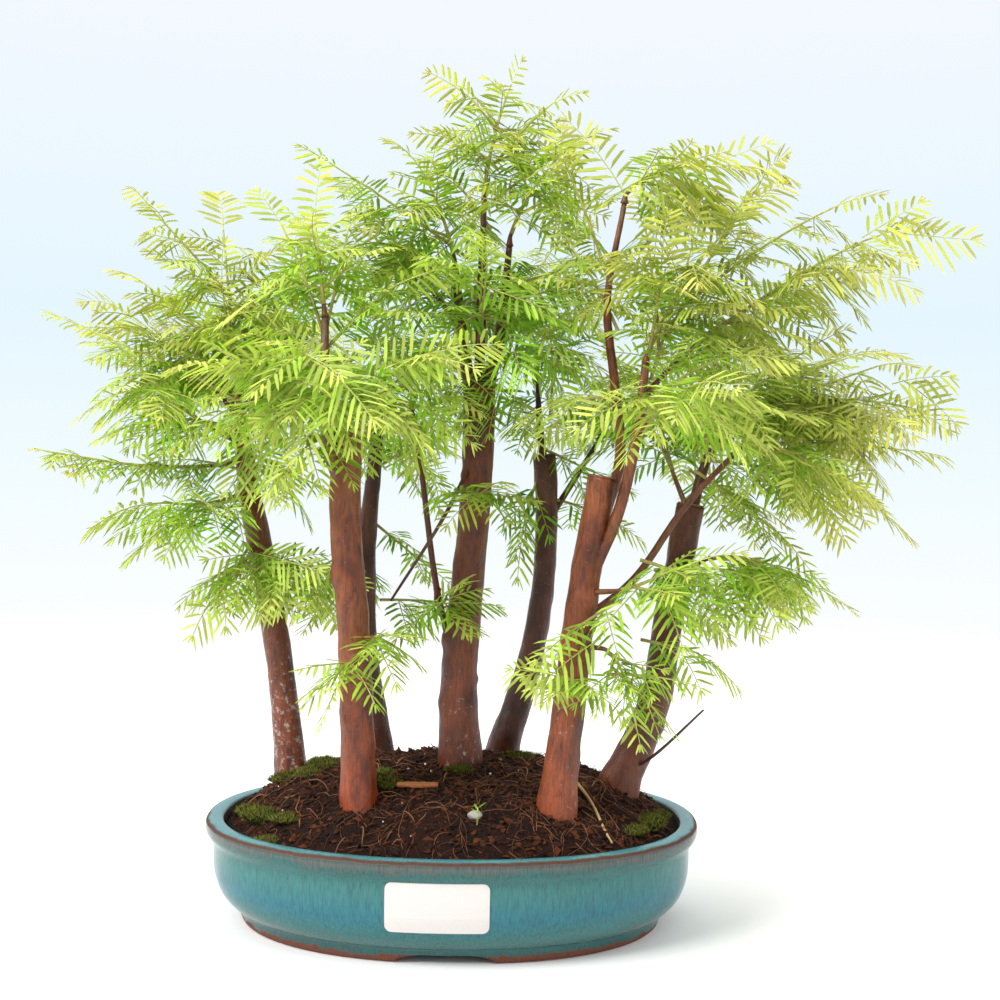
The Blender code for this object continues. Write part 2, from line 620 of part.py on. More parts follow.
def make_shoots(parts, cutters, solids):
    """Each leafy shoot: a slim stem with its fronds, turned until they clear the rest."""
    for name in SHOOTS:
        draw = random.Random(name)
        _, _, points = shoot_line(name)
        taper = (SHOOT_TIP_RADIUS - SHOOT_ROOT_RADIUS) / (len(points) - 1)
        radii = [SHOOT_ROOT_RADIUS + taper * i for i in range(len(points))]
        stem = tube("shoot_" + name, points, radii, SQUARE, parts, "leaf")
        fronds, own = [], []
        for base, heading, up, length, leaflets in frond_places(name):
            for attempt in range(FROND_TRIES):
                loose = 0.12 + 0.02 * attempt
                sway = Vector([draw.uniform(-loose, loose) for _ in range(3)])
                along = (heading + sway).normalized()
                roll = draw.uniform(-FROND_ROLL, FROND_ROLL)
                facing = up + along.cross(up) * math.tan(roll)
                size = length * draw.uniform(0.86, 1.1) * (1 - 0.01 * attempt)
                verts, faces = frond_mesh(base, along, facing, size, leaflets, FROND_CLEAR)
                probe = BVHTree.FromPolygons(verts, faces)
                if not any(probe.overlap(tree) for tree in solids + own):
                    verts, faces = frond_mesh(base, along, facing, size, leaflets)
                    fronds.append(mesh_object("frond", verts, faces, cutters))
                    own.append(leafy_part(verts, faces))
                    break
        made = combine(stem, fronds, "UNION", parts, "leaf")
        solids.append(tree_of(made))


def leafy_part(verts, faces):
    """The search tree of a frond without its bare foot, which may meet its neighbours."""
    return BVHTree.FromPolygons(verts, [face for face in faces if min(face) >= 3])


def seat(item, ground, parts, surface):
    """Cut away what lies below the soil's surface, a small gap above it."""
    return combine(item, [ground], "DIFFERENCE", parts, surface)


def soil_top(ground_tree, x, y):
    """The height of the soil at a place."""
    hit, _, _, _ = ground_tree.ray_cast(Vector((x, y, 0.2)), Vector((0, 0, -1)))
    return hit.z


def make_loose_things(parts, cutters, soil):
    """The moss clumps, the pebble, the wood chip and the straw on the soil."""
    ground = tree_of(soil)
    for name, ((x, y), (half_x, half_y, high)) in MOSS.items():
        shape = bmesh.new()
        bmesh.ops.create_uvsphere(shape, u_segments=10, v_segments=6, radius=1)
        centre = Vector((x * MM, y * MM, soil_top(ground, x * MM, y * MM)))
        for vert in shape.verts:
            bump = 1 + 0.25 * noise.noise(vert.co * 2.3 + Vector((x, y, 0)))
            vert.co = Vector((vert.co.x * half_x, vert.co.y * half_y, vert.co.z * high))
            vert.co = centre + vert.co * bump * MM
        lump_on_soil(name, shape, parts, cutters, "moss")
    shape = bmesh.new()
    bmesh.ops.create_icosphere(shape, subdivisions=1, radius=MM)
    x, y = PEBBLE_AT[0] * MM, PEBBLE_AT[1] * MM
    bmesh.ops.scale(shape, vec=PEBBLE_SIZE, verts=shape.verts)
    bmesh.ops.translate(shape, vec=(x, y, soil_top(ground, x, y) + 1.2 * MM), verts=shape.verts)
    lump_on_soil("pebble", shape, parts, cutters, "stone")
    shape = bmesh.new()
    bmesh.ops.create_cube(shape, size=MM)
    x, y = CHIP_AT[0] * MM, CHIP_AT[1] * MM
    bmesh.ops.scale(shape, vec=CHIP_SIZE, verts=shape.verts)
    bmesh.ops.translate(shape, vec=(x, y, soil_top(ground, x, y) + MM), verts=shape.verts)
    lump_on_soil("wood_chip", shape, parts, cutters, "wood")
    (x0, y0), (x1, y1) = STRAW_ENDS
    ends = [Vector((x0 * MM, y0 * MM, 0)), Vector((x1 * MM, y1 * MM, 0))]
    for end in ends:
        end.z = soil_top(ground, end.x, end.y)
    lift = max(soil_top(ground, p.x, p.y) - p.z
               for p in [ends[0].lerp(ends[1], k / 20) for k in range(21)])
    rise = Vector((0, 0, lift + STRAW_RADIUS * 1.3 + GAP))
    tube("straw", [ends[0] + rise, ends[1] + rise], [STRAW_RADIUS] * 2, SQUARE, parts, "wood")


def lump_on_soil(name, shape, parts, cutters, surface):
    """Make a small lump an object, resting on the soil."""
    mesh = bpy.data.meshes.new(name)
    shape.to_mesh(mesh)
    shape.free()
    lump = bpy.data.objects.new(name, mesh)
    parts.objects.link(lump)
    ground = make_soil_block("ground", cutters, raised=GAP)
    seat(lump, ground, parts, surface)


def stand_on_origin(parts):
    """Carry everything on an empty placed so that the outline's middle is over the origin."""
    carrier = bpy.data.objects.new("plant_origin", None)
    parts.objects.link(carrier)
    corners = [v.co for item in parts.objects if item.type == "MESH"
               for v in item.data.vertices]
    for axis in (0, 1):
        values = [corner[axis] for corner in corners]
        carrier.location[axis] = -(min(values) + max(values)) / 2
    carrier.location.z = -min(corner.z for corner in corners)
    for item in parts.objects:
        if item.type == "MESH":
            item.parent = carrier


def main():
    for item in list(bpy.data.objects):
        bpy.data.objects.remove(item)
    parts = bpy.data.collections.new("dawn_redwood_forest")
    cutters = bpy.data.collections.new("cutters")
    for collection in (parts, cutters):
        bpy.context.scene.collection.children.link(collection)
    make_pot(parts, cutters)
    make_screens(parts, cutters)
    make_label(parts)
    soil = make_soil(parts, cutters)
    make_loose_things(parts, cutters, soil)
    make_trunks(parts, cutters)
    solids = [tree_of(item) for item in parts.objects]
    make_shoots(parts, cutters, solids)
    stand_on_origin(parts)
    bpy.context.view_layer.update()


main()
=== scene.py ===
"""Dawn redwood bonsai forest: the dressed model of seven trunks in an oval glazed pot."""

import json
import math
import random

import bmesh
import bpy
import numpy as np
from bpy.props import (BoolProperty, FloatProperty, FloatVectorProperty, IntProperty,
                       PointerProperty)
from mathutils import Euler, Matrix, Vector, noise
from mathutils.bvhtree import BVHTree

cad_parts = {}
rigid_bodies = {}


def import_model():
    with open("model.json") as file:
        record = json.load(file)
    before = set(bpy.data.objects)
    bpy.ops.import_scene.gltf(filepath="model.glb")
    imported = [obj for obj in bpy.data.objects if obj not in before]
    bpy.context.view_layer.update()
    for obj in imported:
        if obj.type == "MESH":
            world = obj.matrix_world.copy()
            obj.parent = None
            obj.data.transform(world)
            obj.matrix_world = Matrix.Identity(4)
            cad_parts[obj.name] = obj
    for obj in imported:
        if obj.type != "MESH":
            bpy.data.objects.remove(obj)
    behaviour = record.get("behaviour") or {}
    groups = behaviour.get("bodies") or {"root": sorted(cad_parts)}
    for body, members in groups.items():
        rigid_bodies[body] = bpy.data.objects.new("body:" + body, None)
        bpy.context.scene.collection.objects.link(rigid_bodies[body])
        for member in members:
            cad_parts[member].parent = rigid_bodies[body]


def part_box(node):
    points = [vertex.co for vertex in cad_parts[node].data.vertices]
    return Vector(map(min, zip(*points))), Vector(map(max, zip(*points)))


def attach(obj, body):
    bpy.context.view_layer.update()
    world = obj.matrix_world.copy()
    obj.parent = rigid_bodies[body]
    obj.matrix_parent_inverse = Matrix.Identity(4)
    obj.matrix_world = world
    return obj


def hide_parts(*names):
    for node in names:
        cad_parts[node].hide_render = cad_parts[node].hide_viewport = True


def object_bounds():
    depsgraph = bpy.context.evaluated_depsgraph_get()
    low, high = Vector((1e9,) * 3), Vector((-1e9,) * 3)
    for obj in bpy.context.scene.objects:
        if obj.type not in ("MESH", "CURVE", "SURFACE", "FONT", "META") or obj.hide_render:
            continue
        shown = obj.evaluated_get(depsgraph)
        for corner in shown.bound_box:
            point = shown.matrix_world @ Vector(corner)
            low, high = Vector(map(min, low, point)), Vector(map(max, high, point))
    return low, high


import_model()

bl_info = {
    "name": "Dawn redwood forest",
    "version": (1, 0, 0),
    "blender": (4, 5, 0),
    "location": "3D View > Sidebar > Forest",
    "description": "Pot, soil, bark and foliage of a dawn redwood bonsai forest",
    "category": "Object",
}

MM = 0.001
SKY = np.array([0.0, 0.0, 1.0])
CAD_BOX = [list(corner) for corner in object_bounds()]

# Middle of the pot's foot. Every table below is in millimetres from here.
POT_LOW, POT_HIGH = (Vector(corner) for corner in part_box("pot"))
ORIGIN = np.array([(POT_LOW.x + POT_HIGH.x) / 2, (POT_LOW.y + POT_HIGH.y) / 2, 0.0])
POT_LENGTH_HALF = (POT_HIGH.x - POT_LOW.x) / MM / 2
POT_WIDTH_HALF = (POT_HIGH.y - POT_LOW.y) / MM / 2

# Pot wall as (inset from the rim, height)
POT_OUTSIDE = [(36, 7), (35.5, 0), (21.5, 0), (19.5, 8), (17, 9.2), (11.6, 14), (8, 19.5),
               (5.6, 27), (4.9, 35), (4.9, 45.5), (1.4, 49), (0, 53), (1.2, 57.5)]
POT_INSIDE = [(9.4, 57.5), (10.6, 56.2), (12.2, 50), (13.4, 34), (17, 21), (27, 13)]
OVAL_POWER = 2.15
WIDTH_INSET = 0.8
FOOT_TOP = 8
FOOT_GAP_FRONT = 53
FOOT_GAP_END = 50
FOOT_GAP_HEIGHT = 5
DRAIN_OFFSET = 62
DRAIN_RADIUS = 8

# Label: middle and width along the wall, lower and upper edge, thickness, corner radius
LABEL_X = -4
LABEL_WIDTH = 53
LABEL_ENDS = (20, 46)
LABEL_THICK = 0.5
LABEL_CORNER = 3.6

# Drain nets
NET_SIDE = 26
NET_THICK = 0.8
NET_BAR = 0.9
NET_HOLES = 9
NET_LOW = 13.3

# Soil: its edge inside the pot as (inset, height), and the mound over it
SOIL_EDGE = (11.8, 52.5)
SOIL_INSET = 0.4
MOUND_RISE = 32
MOUND_POWER = 3.2
MOUND_BACK = 18
MOUND_LUMPS = 2.6
LUMPS_PER_METRE = 38
LUMPS_FADE = 6

# Trunks: where their hidden ends lie in the soil, and their feet, which widen by this share
# from a height down
TRUNK_FOOT = 40
FOOT_FLARE = 0.1
FLARE_TOP = 78.0
FLARE_REACH = 8
TRUNK_SIDES = 42

# Stems: (trunk, points, radius at each point)
STEMS = {
    "trunk_1": ("trunk_1", [(-97, 31, 66), (-104, 31, 125), (-113, 31, 180), (-123, 31, 228),
                            (-129, 31, 262), (-132, 31, 290)], [9.2, 8, 7.4, 7, 5, 3.2]),
    "trunk_2": ("trunk_2", [(-49, -45, 68), (-51, -45, 118), (-54, -45, 172), (-59, -45, 226),
                            (-58, -45, 274)], [9.6, 8.9, 8.6, 8.4, 8]),
    "trunk_3": ("trunk_3", [(-46, 60, 74), (-56, 60, 139), (-58, 60, 200), (-54, 60, 255),
                            (-52, 60, 288)], [7.4, 6.2, 6, 4.4, 3]),
    "trunk_4": ("trunk_4", [(4, 5, 80), (2, 5, 127), (4.5, 5, 167), (7.4, 5, 202),
                            (10.6, 5, 248), (11, 5, 303)], [12.8, 10.7, 9.8, 9.2, 8.7, 9.4]),
    "trunk_5": ("trunk_5", [(27, 60, 76), (39, 60, 116), (47, 60, 150), (52, 60, 187),
                            (53, 60, 230), (51, 60, 264)], [10, 8.4, 7.4, 6.8, 6.8, 7.2]),
    "trunk_6": ("trunk_6", [(57, -45, 68), (62, -45, 115), (66, -45, 158), (72, -45, 206),
                            (79, -45, 251)], [9.8, 9, 8.6, 8, 7.6]),
    "trunk_7": ("trunk_7", [(95, 5, 70), (107, 5, 99), (117, 5, 129), (122, 5, 167),
                            (128, 5, 201), (134, 5, 236)], [11, 9.8, 9, 8.6, 8.2, 8]),
    "ridged_stem": ("trunk_2", [(-58, -45, 236), (-67, -51, 262), (-70, -52, 300),
                                (-71, -48, 334)], [4, 5, 4, 2.6]),
    "left_fork": ("trunk_4", [(10, 5, 282), (2, 3, 322), (-4, 2, 370)], [5.5, 5, 2.6]),
    "right_fork": ("trunk_4", [(12, 5, 286), (22, 6, 330), (27, 0, 382)], [5.5, 4.6, 2.4]),
    "leader": ("trunk_4", [(11, 7, 292), (11, 9, 345), (12, 8, 408)], [5, 4, 2]),
    "thin_side_stem": ("trunk_4", [(0, 4, 140), (-12, 0, 190), (-20, 0, 245), (-28, 0, 293)],
                       [2.8, 2.6, 2.2, 1.6]),
    "bare_twig": ("trunk_4", [(9, 3, 262), (-8, -12, 226), (-36, -19, 180)], [1.8, 1.5, 1]),
    "stub_stem": ("trunk_5", [(52, 60, 252), (48, 62, 282), (46, 64, 310)], [3.4, 3, 2]),
    "back_stem": ("trunk_5", [(53, 60, 222), (68, 64, 246), (85, 70, 274)], [3, 2.6, 2]),
    "twin_stem": ("trunk_6", [(69, -45, 186), (87, -52, 232), (96, -54, 274), (100, -54, 312)],
                  [4.4, 4.4, 4, 2.8]),
    "bare_stem": ("trunk_6", [(72, -43, 204), (88, -42, 258), (85, -42, 300), (80, -43, 346),
                              (88, -45, 398)], [4, 4, 3.6, 2.8, 2]),
    "crossing_stem": ("trunk_6", [(67, -45, 172), (98, -36, 196), (126, -30, 236),
                                  (152, -24, 264)], [3.4, 3, 2.6, 2]),
    "right_stem": ("trunk_7", [(133, 5, 222), (140, 8, 252), (150, 10, 280)], [4.6, 4.2, 2.8]),
    "dead_twig": ("trunk_7", [(98, 3, 82), (114, -9, 94), (141, -13, 121)], [1.6, 1.3, 0.8]),
}

# Shoots: (stem, share of its length, start, tip, pairs of fronds on the solid, frond length)
SHOOTS = {
    "t1_leader": ("trunk_1", 1.0, (-133, 31, 298), (-142, 34, 378), 3, 48),
    "t1_far_left": ("trunk_1", 0.86, (-148, 27, 254), (-206, 4, 256), 2, 40),
    "t1_upper_left": ("trunk_1", 0.96, (-147, 37, 298), (-196, 50, 340), 2, 46),
    "t1_left": ("trunk_1", 0.9, (-146, 18, 276), (-182, -8, 310), 2, 50),
    "t1_low": ("trunk_1", 0.78, (-138, 21, 234), (-160, -4, 232), 1, 50),
    "t1_hang": ("trunk_1", 0.64, (-121, 14, 203), (-128, -10, 190), 1, 42),
    "t1_hang_right": ("trunk_1", 0.62, (-107, 19, 200), (-88, 2, 188), 1, 44),
    "t1_back": ("trunk_1", 0.94, (-122, 48, 298), (-112, 84, 376), 2, 50),
    "t1_back_left": ("trunk_1", 0.88, (-138, 52, 284), (-166, 92, 350), 1, 58),
    "t2_leader": ("ridged_stem", 1.0, (-72, -47, 341), (-76, -42, 370), 2, 44),
    "t2_right": ("trunk_2", 0.94, (-47, -58, 282), (-24, -74, 304), 2, 46),
    "t2_left": ("ridged_stem", 0.5, (-82, -66, 288), (-98, -86, 296), 1, 48),
    "t2_front": ("ridged_stem", 0.6, (-68, -68, 298), (-70, -100, 306), 1, 58),
    "t2_small": ("trunk_2", 0.38, (-53, -60, 151), (-55, -66, 149), 0, 34),
    "t2_small_right": ("trunk_2", 0.46, (-41, -54, 164), (-37, -58, 165), 0, 34),
    "t3_top": ("trunk_3", 1.0, (-51, 61, 296), (-46, 78, 340), 1, 58),
    "t3_low": ("trunk_3", 0.64, (-66, 67, 211), (-72, 74, 190), 1, 44),
    "t3_back": ("trunk_3", 0.88, (-59, 76, 268), (-74, 108, 300), 1, 50),
    "t4_top": ("leader", 1.0, (12, 8, 415), (22, 10, 464), 3, 38),
    "t4_left_up": ("left_fork", 1.0, (-5, 1, 377), (-16, -8, 408), 2, 44),
    "t4_far_left": ("left_fork", 0.6, (-18, 9, 358), (-48, 22, 398), 2, 46),
    "t4_right_up": ("right_fork", 1.0, (28, -2, 389), (46, -18, 420), 2, 44),
    "t4_right_back": ("right_fork", 0.5, (29, 22, 346), (48, 56, 382), 1, 58),
    "t4_front": ("leader", 0.3, (12, -14, 334), (14, -50, 350), 1, 58),
    "t4_back": ("left_fork", 0.5, (-2, 22, 344), (-14, 68, 384), 1, 58),
    "t4_mid": ("trunk_4", 0.7, (13, -13, 240), (16, -24, 243), 0, 40),
    "t4_low": ("thin_side_stem", 0.3, (-10, -10, 178), (-6, -18, 181), 0, 36),
    "t5_top": ("stub_stem", 1.0, (46, 65, 317), (50, 72, 342), 1, 44),
    "t5_right": ("back_stem", 1.0, (87, 71, 280), (92, 84, 298), 1, 42),
    "t6_bare_top": ("bare_stem", 1.0, (90, -46, 404), (116, -52, 416), 2, 50),
    "t6_diagonal": ("twin_stem", 1.0, (102, -55, 320), (132, -66, 372), 2, 50),
    "t6_diagonal_right": ("twin_stem", 0.85, (118, -46, 314), (214, -24, 380), 3, 52),
    "t6_front": ("twin_stem", 0.7, (101, -72, 282), (110, -98, 292), 1, 58),
    "t6_small": ("trunk_6", 0.4, (65, -61, 143), (61, -66, 146), 0, 36),
    "t6_low_right": ("trunk_6", 0.5, (83, -54, 158), (90, -62, 148), 1, 36),
    "t6_mid_right": ("trunk_6", 0.66, (89, -60, 192), (106, -72, 200), 1, 46),
    "t7_right": ("right_stem", 1.0, (158, 10, 286), (236, 8, 298), 3, 50),
    "t7_upper_right": ("right_stem", 0.75, (160, 22, 284), (212, 38, 318), 2, 50),
    "t7_low_right": ("crossing_stem", 1.0, (159, -23, 268), (194, -34, 262), 1, 58),
    "t7_lower": ("trunk_7", 0.76, (146, -3, 206), (176, -12, 204), 2, 46),
    "t7_back": ("right_stem", 0.55, (152, 28, 276), (180, 68, 342), 2, 50),
    "t7_back_left": ("trunk_7", 0.97, (126, 27, 256), (118, 80, 320), 1, 58),
}

# Bark of each trunk: how red its foot is, how olive its upper part, how much lichen it has and
# how light it is
BARK_STATE = {
    "trunk_1": (0.3, 0.1, 0.8, 0.82), "trunk_2": (0.8, 0.3, 0.15, 0.98),
    "trunk_3": (0.1, 0.15, 0.1, 0.38), "trunk_4": (0.25, 0.3, 0.6, 0.8),
    "trunk_5": (0.1, 0.25, 0.1, 0.42), "trunk_6": (0.22, 0.1, 0.5, 1.05),
    "trunk_7": (0.25, 0.2, 0.1, 0.55),
}

# Knots on the bark: (trunk, height, turn from the front in degrees, how far it stands, size)
KNOTS = [
    ("trunk_2", 150, 5, 1.6, 4.5), ("trunk_2", 196, -70, 2.4, 6), ("trunk_2", 118, -30, 0.9, 3),
    ("trunk_2", 232, 40, 1.2, 4), ("trunk_4", 156, -75, 3, 6), ("trunk_4", 120, -60, 1.4, 5),
    ("trunk_4", 250, -80, 1.6, 4), ("trunk_4", 205, 30, 0.9, 4), ("trunk_4", 134, 85, 1.2, 3),
    ("trunk_6", 152, 80, 1.4, 5), ("trunk_6", 210, 60, 1.2, 4), ("trunk_6", 118, 20, 0.7, 3),
    ("trunk_1", 160, -30, 0.9, 3.5), ("trunk_1", 205, 50, 1.2, 4), ("trunk_5", 130, 60, 1, 4),
    ("trunk_5", 200, -40, 1.2, 4), ("trunk_7", 110, 70, 1.8, 5), ("trunk_7", 160, 10, 1, 4),
    ("trunk_7", 190, -60, 1.2, 4), ("trunk_3", 120, 20, 0.8, 3),
]

# Moss clumps: middle, half sizes
MOSS = {
    "moss_left": ((-104, -28), (13, 10, 4.5)),
    "moss_by_trunk": ((-76, 17), (11, 9, 5)),
    "moss_right": ((111, -22), (9, 10, 4.5)),
}
# Thinner moss round the trunks and along the rim
THIN_MOSS = [((-98, 19), (11, 7, 4)), ((-88, -42), (10, 8, 2)), ((-114, -12), (8, 11, 2.4)),
             ((-34, -34), (7, 7, 3.6)), ((4, -14), (8, 4, 3)), ((100, -38), (8, 7, 2.4)),
             ((118, -4), (6, 8, 2.4)), ((38, 30), (10, 6, 3.4)), ((-38, -18), (6, 5, 3)),
             ((-96, -52), (9, 5, 1.6)), ((-84, 6), (8, 7, 3)), ((100, 10), (6, 6, 2.6))]
MOSS_BLADES = 1500
THIN_MOSS_BLADES = 700
MOSS_BLADE_LENGTH = (1.4, 3.4)
MOSS_BLADE_WIDTH = 0.28

# Loose things on the soil
PEBBLE_AT = (14, -62)
PEBBLE_SIZE = (4.5, 3.5, 3)
CHIP_AT = (-18, -40)
CHIP_SIZE = (22, 7, 3)
STRAW_ENDS = [(70, -22), (88, -58)]
STRAW_RADIUS = 0.9
SEEDLING_AT = (15, -68)
GRAINS = 26
GRAIN_BY_RIM = (106, -52)
FIBRE_STEP = 2.3
FIBRE_RADII = (0.12, 0.14, 0.17, 0.22, 0.45)
CRUMB_SIZES = (0.5, 0.7, 0.9, 1.2, 1.7)

# Further sprays in the piece of each shoot: (start, tip, frond length)
EXTRA_SPRAYS = {
    "t1_hang_right": [((-129, 28, 264), (-90, -5, 248), 31), ((-122, 26, 210), (-92, 5, 196), 24),
        ((-117, 28, 198), (-74, 12, 197), 29)],
    "t1_hang": [((-127, 28, 234), (-145, 0, 234), 31), ((-123, 24, 208), (-126, -5, 196), 24)],
    "t1_low": [((-130, 26, 252), (-156, 10, 260), 29), ((-132, 30, 276), (-179, 8, 291), 31),
        ((-130, 26, 275), (-99, -20, 285), 32)],
    "t1_left": [((-134, 30, 293), (-199, 25, 333), 31), ((-133, 30, 305), (-98, 0, 332), 31)],
    "t1_upper_left": [((-136, 34, 317), (-190, 45, 363), 29)],
    "t1_leader": [((-138, 34, 353), (-183, 34, 407), 27)],
    "t1_back": [((-136, 34, 329), (-99, 40, 385), 31)],
    "t2_left": [((-72, -50, 300), (-99, -70, 324), 32), ((-65, -50, 274), (-79, -80, 267), 31)],
    "t2_leader": [((-71, -48, 322), (-94, -30, 392), 27), ((-71, -48, 316), (-35, -40, 361), 31),
        ((-71, -45, 327), (-62, -20, 386), 27)],
    "t2_right": [((-67, -52, 300), (-18, -85, 314), 36), ((-68, -45, 290), (-32, -20, 281), 31)],
    "t2_front": [((-71, -55, 289), (-66, -100, 297), 32)],
    "t3_top": [((-54, 60, 253), (-20, 70, 279), 29), ((-52, 62, 272), (-15, 90, 254), 29)],
    "t3_low": [((-55, 60, 222), (-26, 75, 197), 27), ((-53, 60, 198), (-83, 80, 177), 27),
        ((-49, 60, 173), (-13, 80, 172), 27)],
    "t4_far_left": [((10, 5, 323), (-36, -20, 331), 32), ((9, 3, 352), (-36, 0, 390), 31),
        ((5, 2, 374), (-69, 10, 429), 29)],
    "t4_front": [((11, 5, 323), (56, -20, 321), 32), ((11, 5, 335), (11, -40, 367), 32),
        ((10, 0, 311), (-10, -30, 292), 31), ((14, 5, 306), (40, -20, 293), 31)],
    "t4_right_up": [((11, 5, 352), (62, 5, 376), 31), ((18, 8, 410), (55, 0, 437), 27)],
    "t4_left_up": [((16, 8, 393), (-15, 20, 441), 27)],
    "t4_top": [((20, 8, 433), (46, -5, 467), 22), ((20, 8, 427), (-6, 10, 453), 23),
        ((20, 8, 450), (1, 8, 481), 18)],
    "t5_top": [((51, 62, 280), (85, 60, 299), 31), ((49, 60, 255), (37, 50, 224), 29),
        ((54, 64, 286), (60, 80, 344), 31), ((53, 62, 274), (17, 70, 298), 29)],
    "t5_right": [((51, 62, 268), (79, 50, 256), 29), ((58, 60, 237), (87, 70, 231), 27)],
    "t6_front": [((89, -44, 293), (55, -60, 297), 32), ((103, -54, 292), (140, -80, 327), 34),
        ((109, -50, 287), (160, -60, 293), 34)],
    "t6_bare_top": [((86, -43, 330), (62, -40, 384), 32), ((82, -43, 352), (58, -45, 426), 31)],
    "t6_diagonal": [((103, -52, 303), (122, -55, 372), 31),
        ((107, -54, 319), (103, -30, 403), 27), ((110, -55, 324), (157, -60, 424), 31)],
    "t6_diagonal_right": [((118, -50, 341), (202, -30, 416), 29)],
    "t7_low_right": [((129, -20, 273), (192, -10, 325), 32), ((139, 5, 262), (218, 0, 258), 32),
        ((135, 0, 256), (175, -20, 229), 31)],
    "t7_upper_right": [((139, 5, 274), (216, 20, 340), 32), ((133, 5, 256), (167, 30, 239), 31)],
    "t7_right": [((142, 8, 274), (243, 10, 328), 31), ((145, 8, 268), (255, 10, 287), 31)],
    "t6_mid_right": [((100, -45, 207), (142, -50, 197), 32), ((90, -45, 185), (62, -70, 172), 24),
        ((104, -20, 161), (130, -30, 157), 29)],
    "t7_lower": [((109, -35, 201), (170, -20, 207), 32)],
    "t6_low_right": [((83, -52, 146), (106, -70, 150), 18),
        ((85, -52, 150), (108, -62, 132), 16)],
}

# Large single fronds turned to the front, in the piece of each shoot: (foot, tip, how much
# wider than usual the leaflets are spaced)
LARGE_FRONDS = {
    "t6_bare_top": [((90, -48, 396), (160, -52, 436), 1.6),
        ((88, -48, 402), (62, -50, 446), 1.35), ((90, -48, 400), (118, -56, 420), 1.1)],
    "t6_diagonal_right": [((229, -24, 390), (282, -26, 384), 1.3),
        ((222, -24, 386), (252, -30, 405), 1.1)],
    "t7_right": [((256, 8, 310), (286, 4, 290), 1.1), ((250, 8, 308), (280, 6, 318), 1.1)],
    "t6_mid_right": [((77, -70, 167), (42, -82, 148), 1.1)],
    "t1_hang": [((-117, 10, 203), (-130, -14, 178), 1.0),
        ((-117, 10, 203), (-114, -14, 172), 1.0), ((-117, 10, 203), (-141, -8, 204), 1.0)],
    "t1_hang_right": [((-117, 10, 203), (-96, -14, 178), 1.0),
        ((-117, 10, 203), (-78, -12, 198), 1.0)],
    "t1_low": [((-120, 8, 275), (-123, -12, 241), 1.0), ((-120, 8, 275), (-106, -14, 238), 1.0),
        ((-120, 8, 275), (-90, -12, 252), 1.0)],
    "t2_right": [((-52, -80, 296), (-6, -86, 324), 1.15)],
    "t2_front": [((-64, -90, 292), (-98, -98, 302), 1.0),
        ((-64, -90, 292), (-94, -100, 276), 1.0), ((-64, -90, 292), (-72, -104, 260), 1.0),
        ((-64, -90, 292), (-46, -104, 268), 1.0), ((-64, -90, 292), (-34, -98, 290), 1.0),
        ((-64, -90, 292), (-48, -98, 318), 1.0), ((-64, -90, 292), (-82, -98, 322), 1.0)],
}
FRONT = np.array([0.0, -1.0, 0.4])

# Places that the foliage leaves clear: the sawn top of the sixth trunk
CLEAR_SPOTS = [((80, -70, 246), 32), ((77, -70, 222), 26)]

# Round this place, as far as this reach, leaves get the deepest green: partly older leaves, partly
# painted shade inside the dense crown
CROWN_HEART = (5, 20, 330)
CROWN_SHADE = 75

# Shoots that stay slim: frond length in mm and how far the shoot runs past its solid's tip
SLIM_SHOOTS = {"t1_far_left": (15, 30)}

# Room in metres that the fronds leave inside the solid model's box
BOX_ROOM = 3 * MM

# Fronds: how a shoot carries them. Lengths in millimetres, the rest are shares or radians.
FROND_DROOP = 0.22
FROND_FORWARD = 0.62
FROND_OUTWARD = 0.8
FROND_ROLL = 0.8
FIRST_PAIR = 0.3
LAST_PAIR = 0.92
SMALL_FROND = 0.76
LOW_FROND = 0.54
LOW_SHOOTS = 195
MAIN_GAP = 13
TWIG_GAP = 16
SISTER_GAP = 10
SISTER_SPAN = 60
CURVE_STEPS = 14
NEW_BLUSH = 0.35
OLD_BLUSH = 0.08
NEW_ABOVE = 370
NEW_BEYOND = 190
LEAFLET_SPREAD = 0.86
LEAFLET_SWEEP = 0.5
LEAFLET_DROOP = 0.16

# Stems, drawn slimmer than their solids, and the wood that joins each shoot to its stem
STEM_STEP = 2.2
STEM_COLLAR = 0.22
STEM_SLIM = 0.72
WOOD_ROOT_RADIUS = 1.8
WOOD_TIP_RADIUS = 1.25

# Camera: its place from the middle of the pot's foot in metres, how far below level it looks
# and how far it leans, in degrees
CAMERA_PLACE = (0.0241, -0.744, 0.250)
CAMERA_DIP = 0.99
CAMERA_LEAN = 1.0
CAMERA_LENS = 46.8
FLOOR_RINGS = (0.0001, 0.3, 0.7, 1.1, 1.5, 1.9, 2.3)


def linear(colour):
    """A sRGB hex colour as linear red, green and blue."""
    parts = [int(colour[k:k + 2], 16) / 255 for k in (1, 3, 5)]
    return tuple(p / 12.92 if p <= 0.04045 else ((p + 0.055) / 1.055) ** 2.4 for p in parts)


def colour_setting(name, colour, about):
    """A colour that the user can change, from its sRGB hex value."""
    return FloatVectorProperty(name=name, description=about, default=linear(colour),
                               subtype="COLOR", size=3, min=0, max=1)


def length_setting(name, size, about):
    """A length that the user can change, given in metres."""
    return FloatProperty(name=name, description=about, default=size, min=0,
                         subtype="DISTANCE", unit="LENGTH", precision=4)


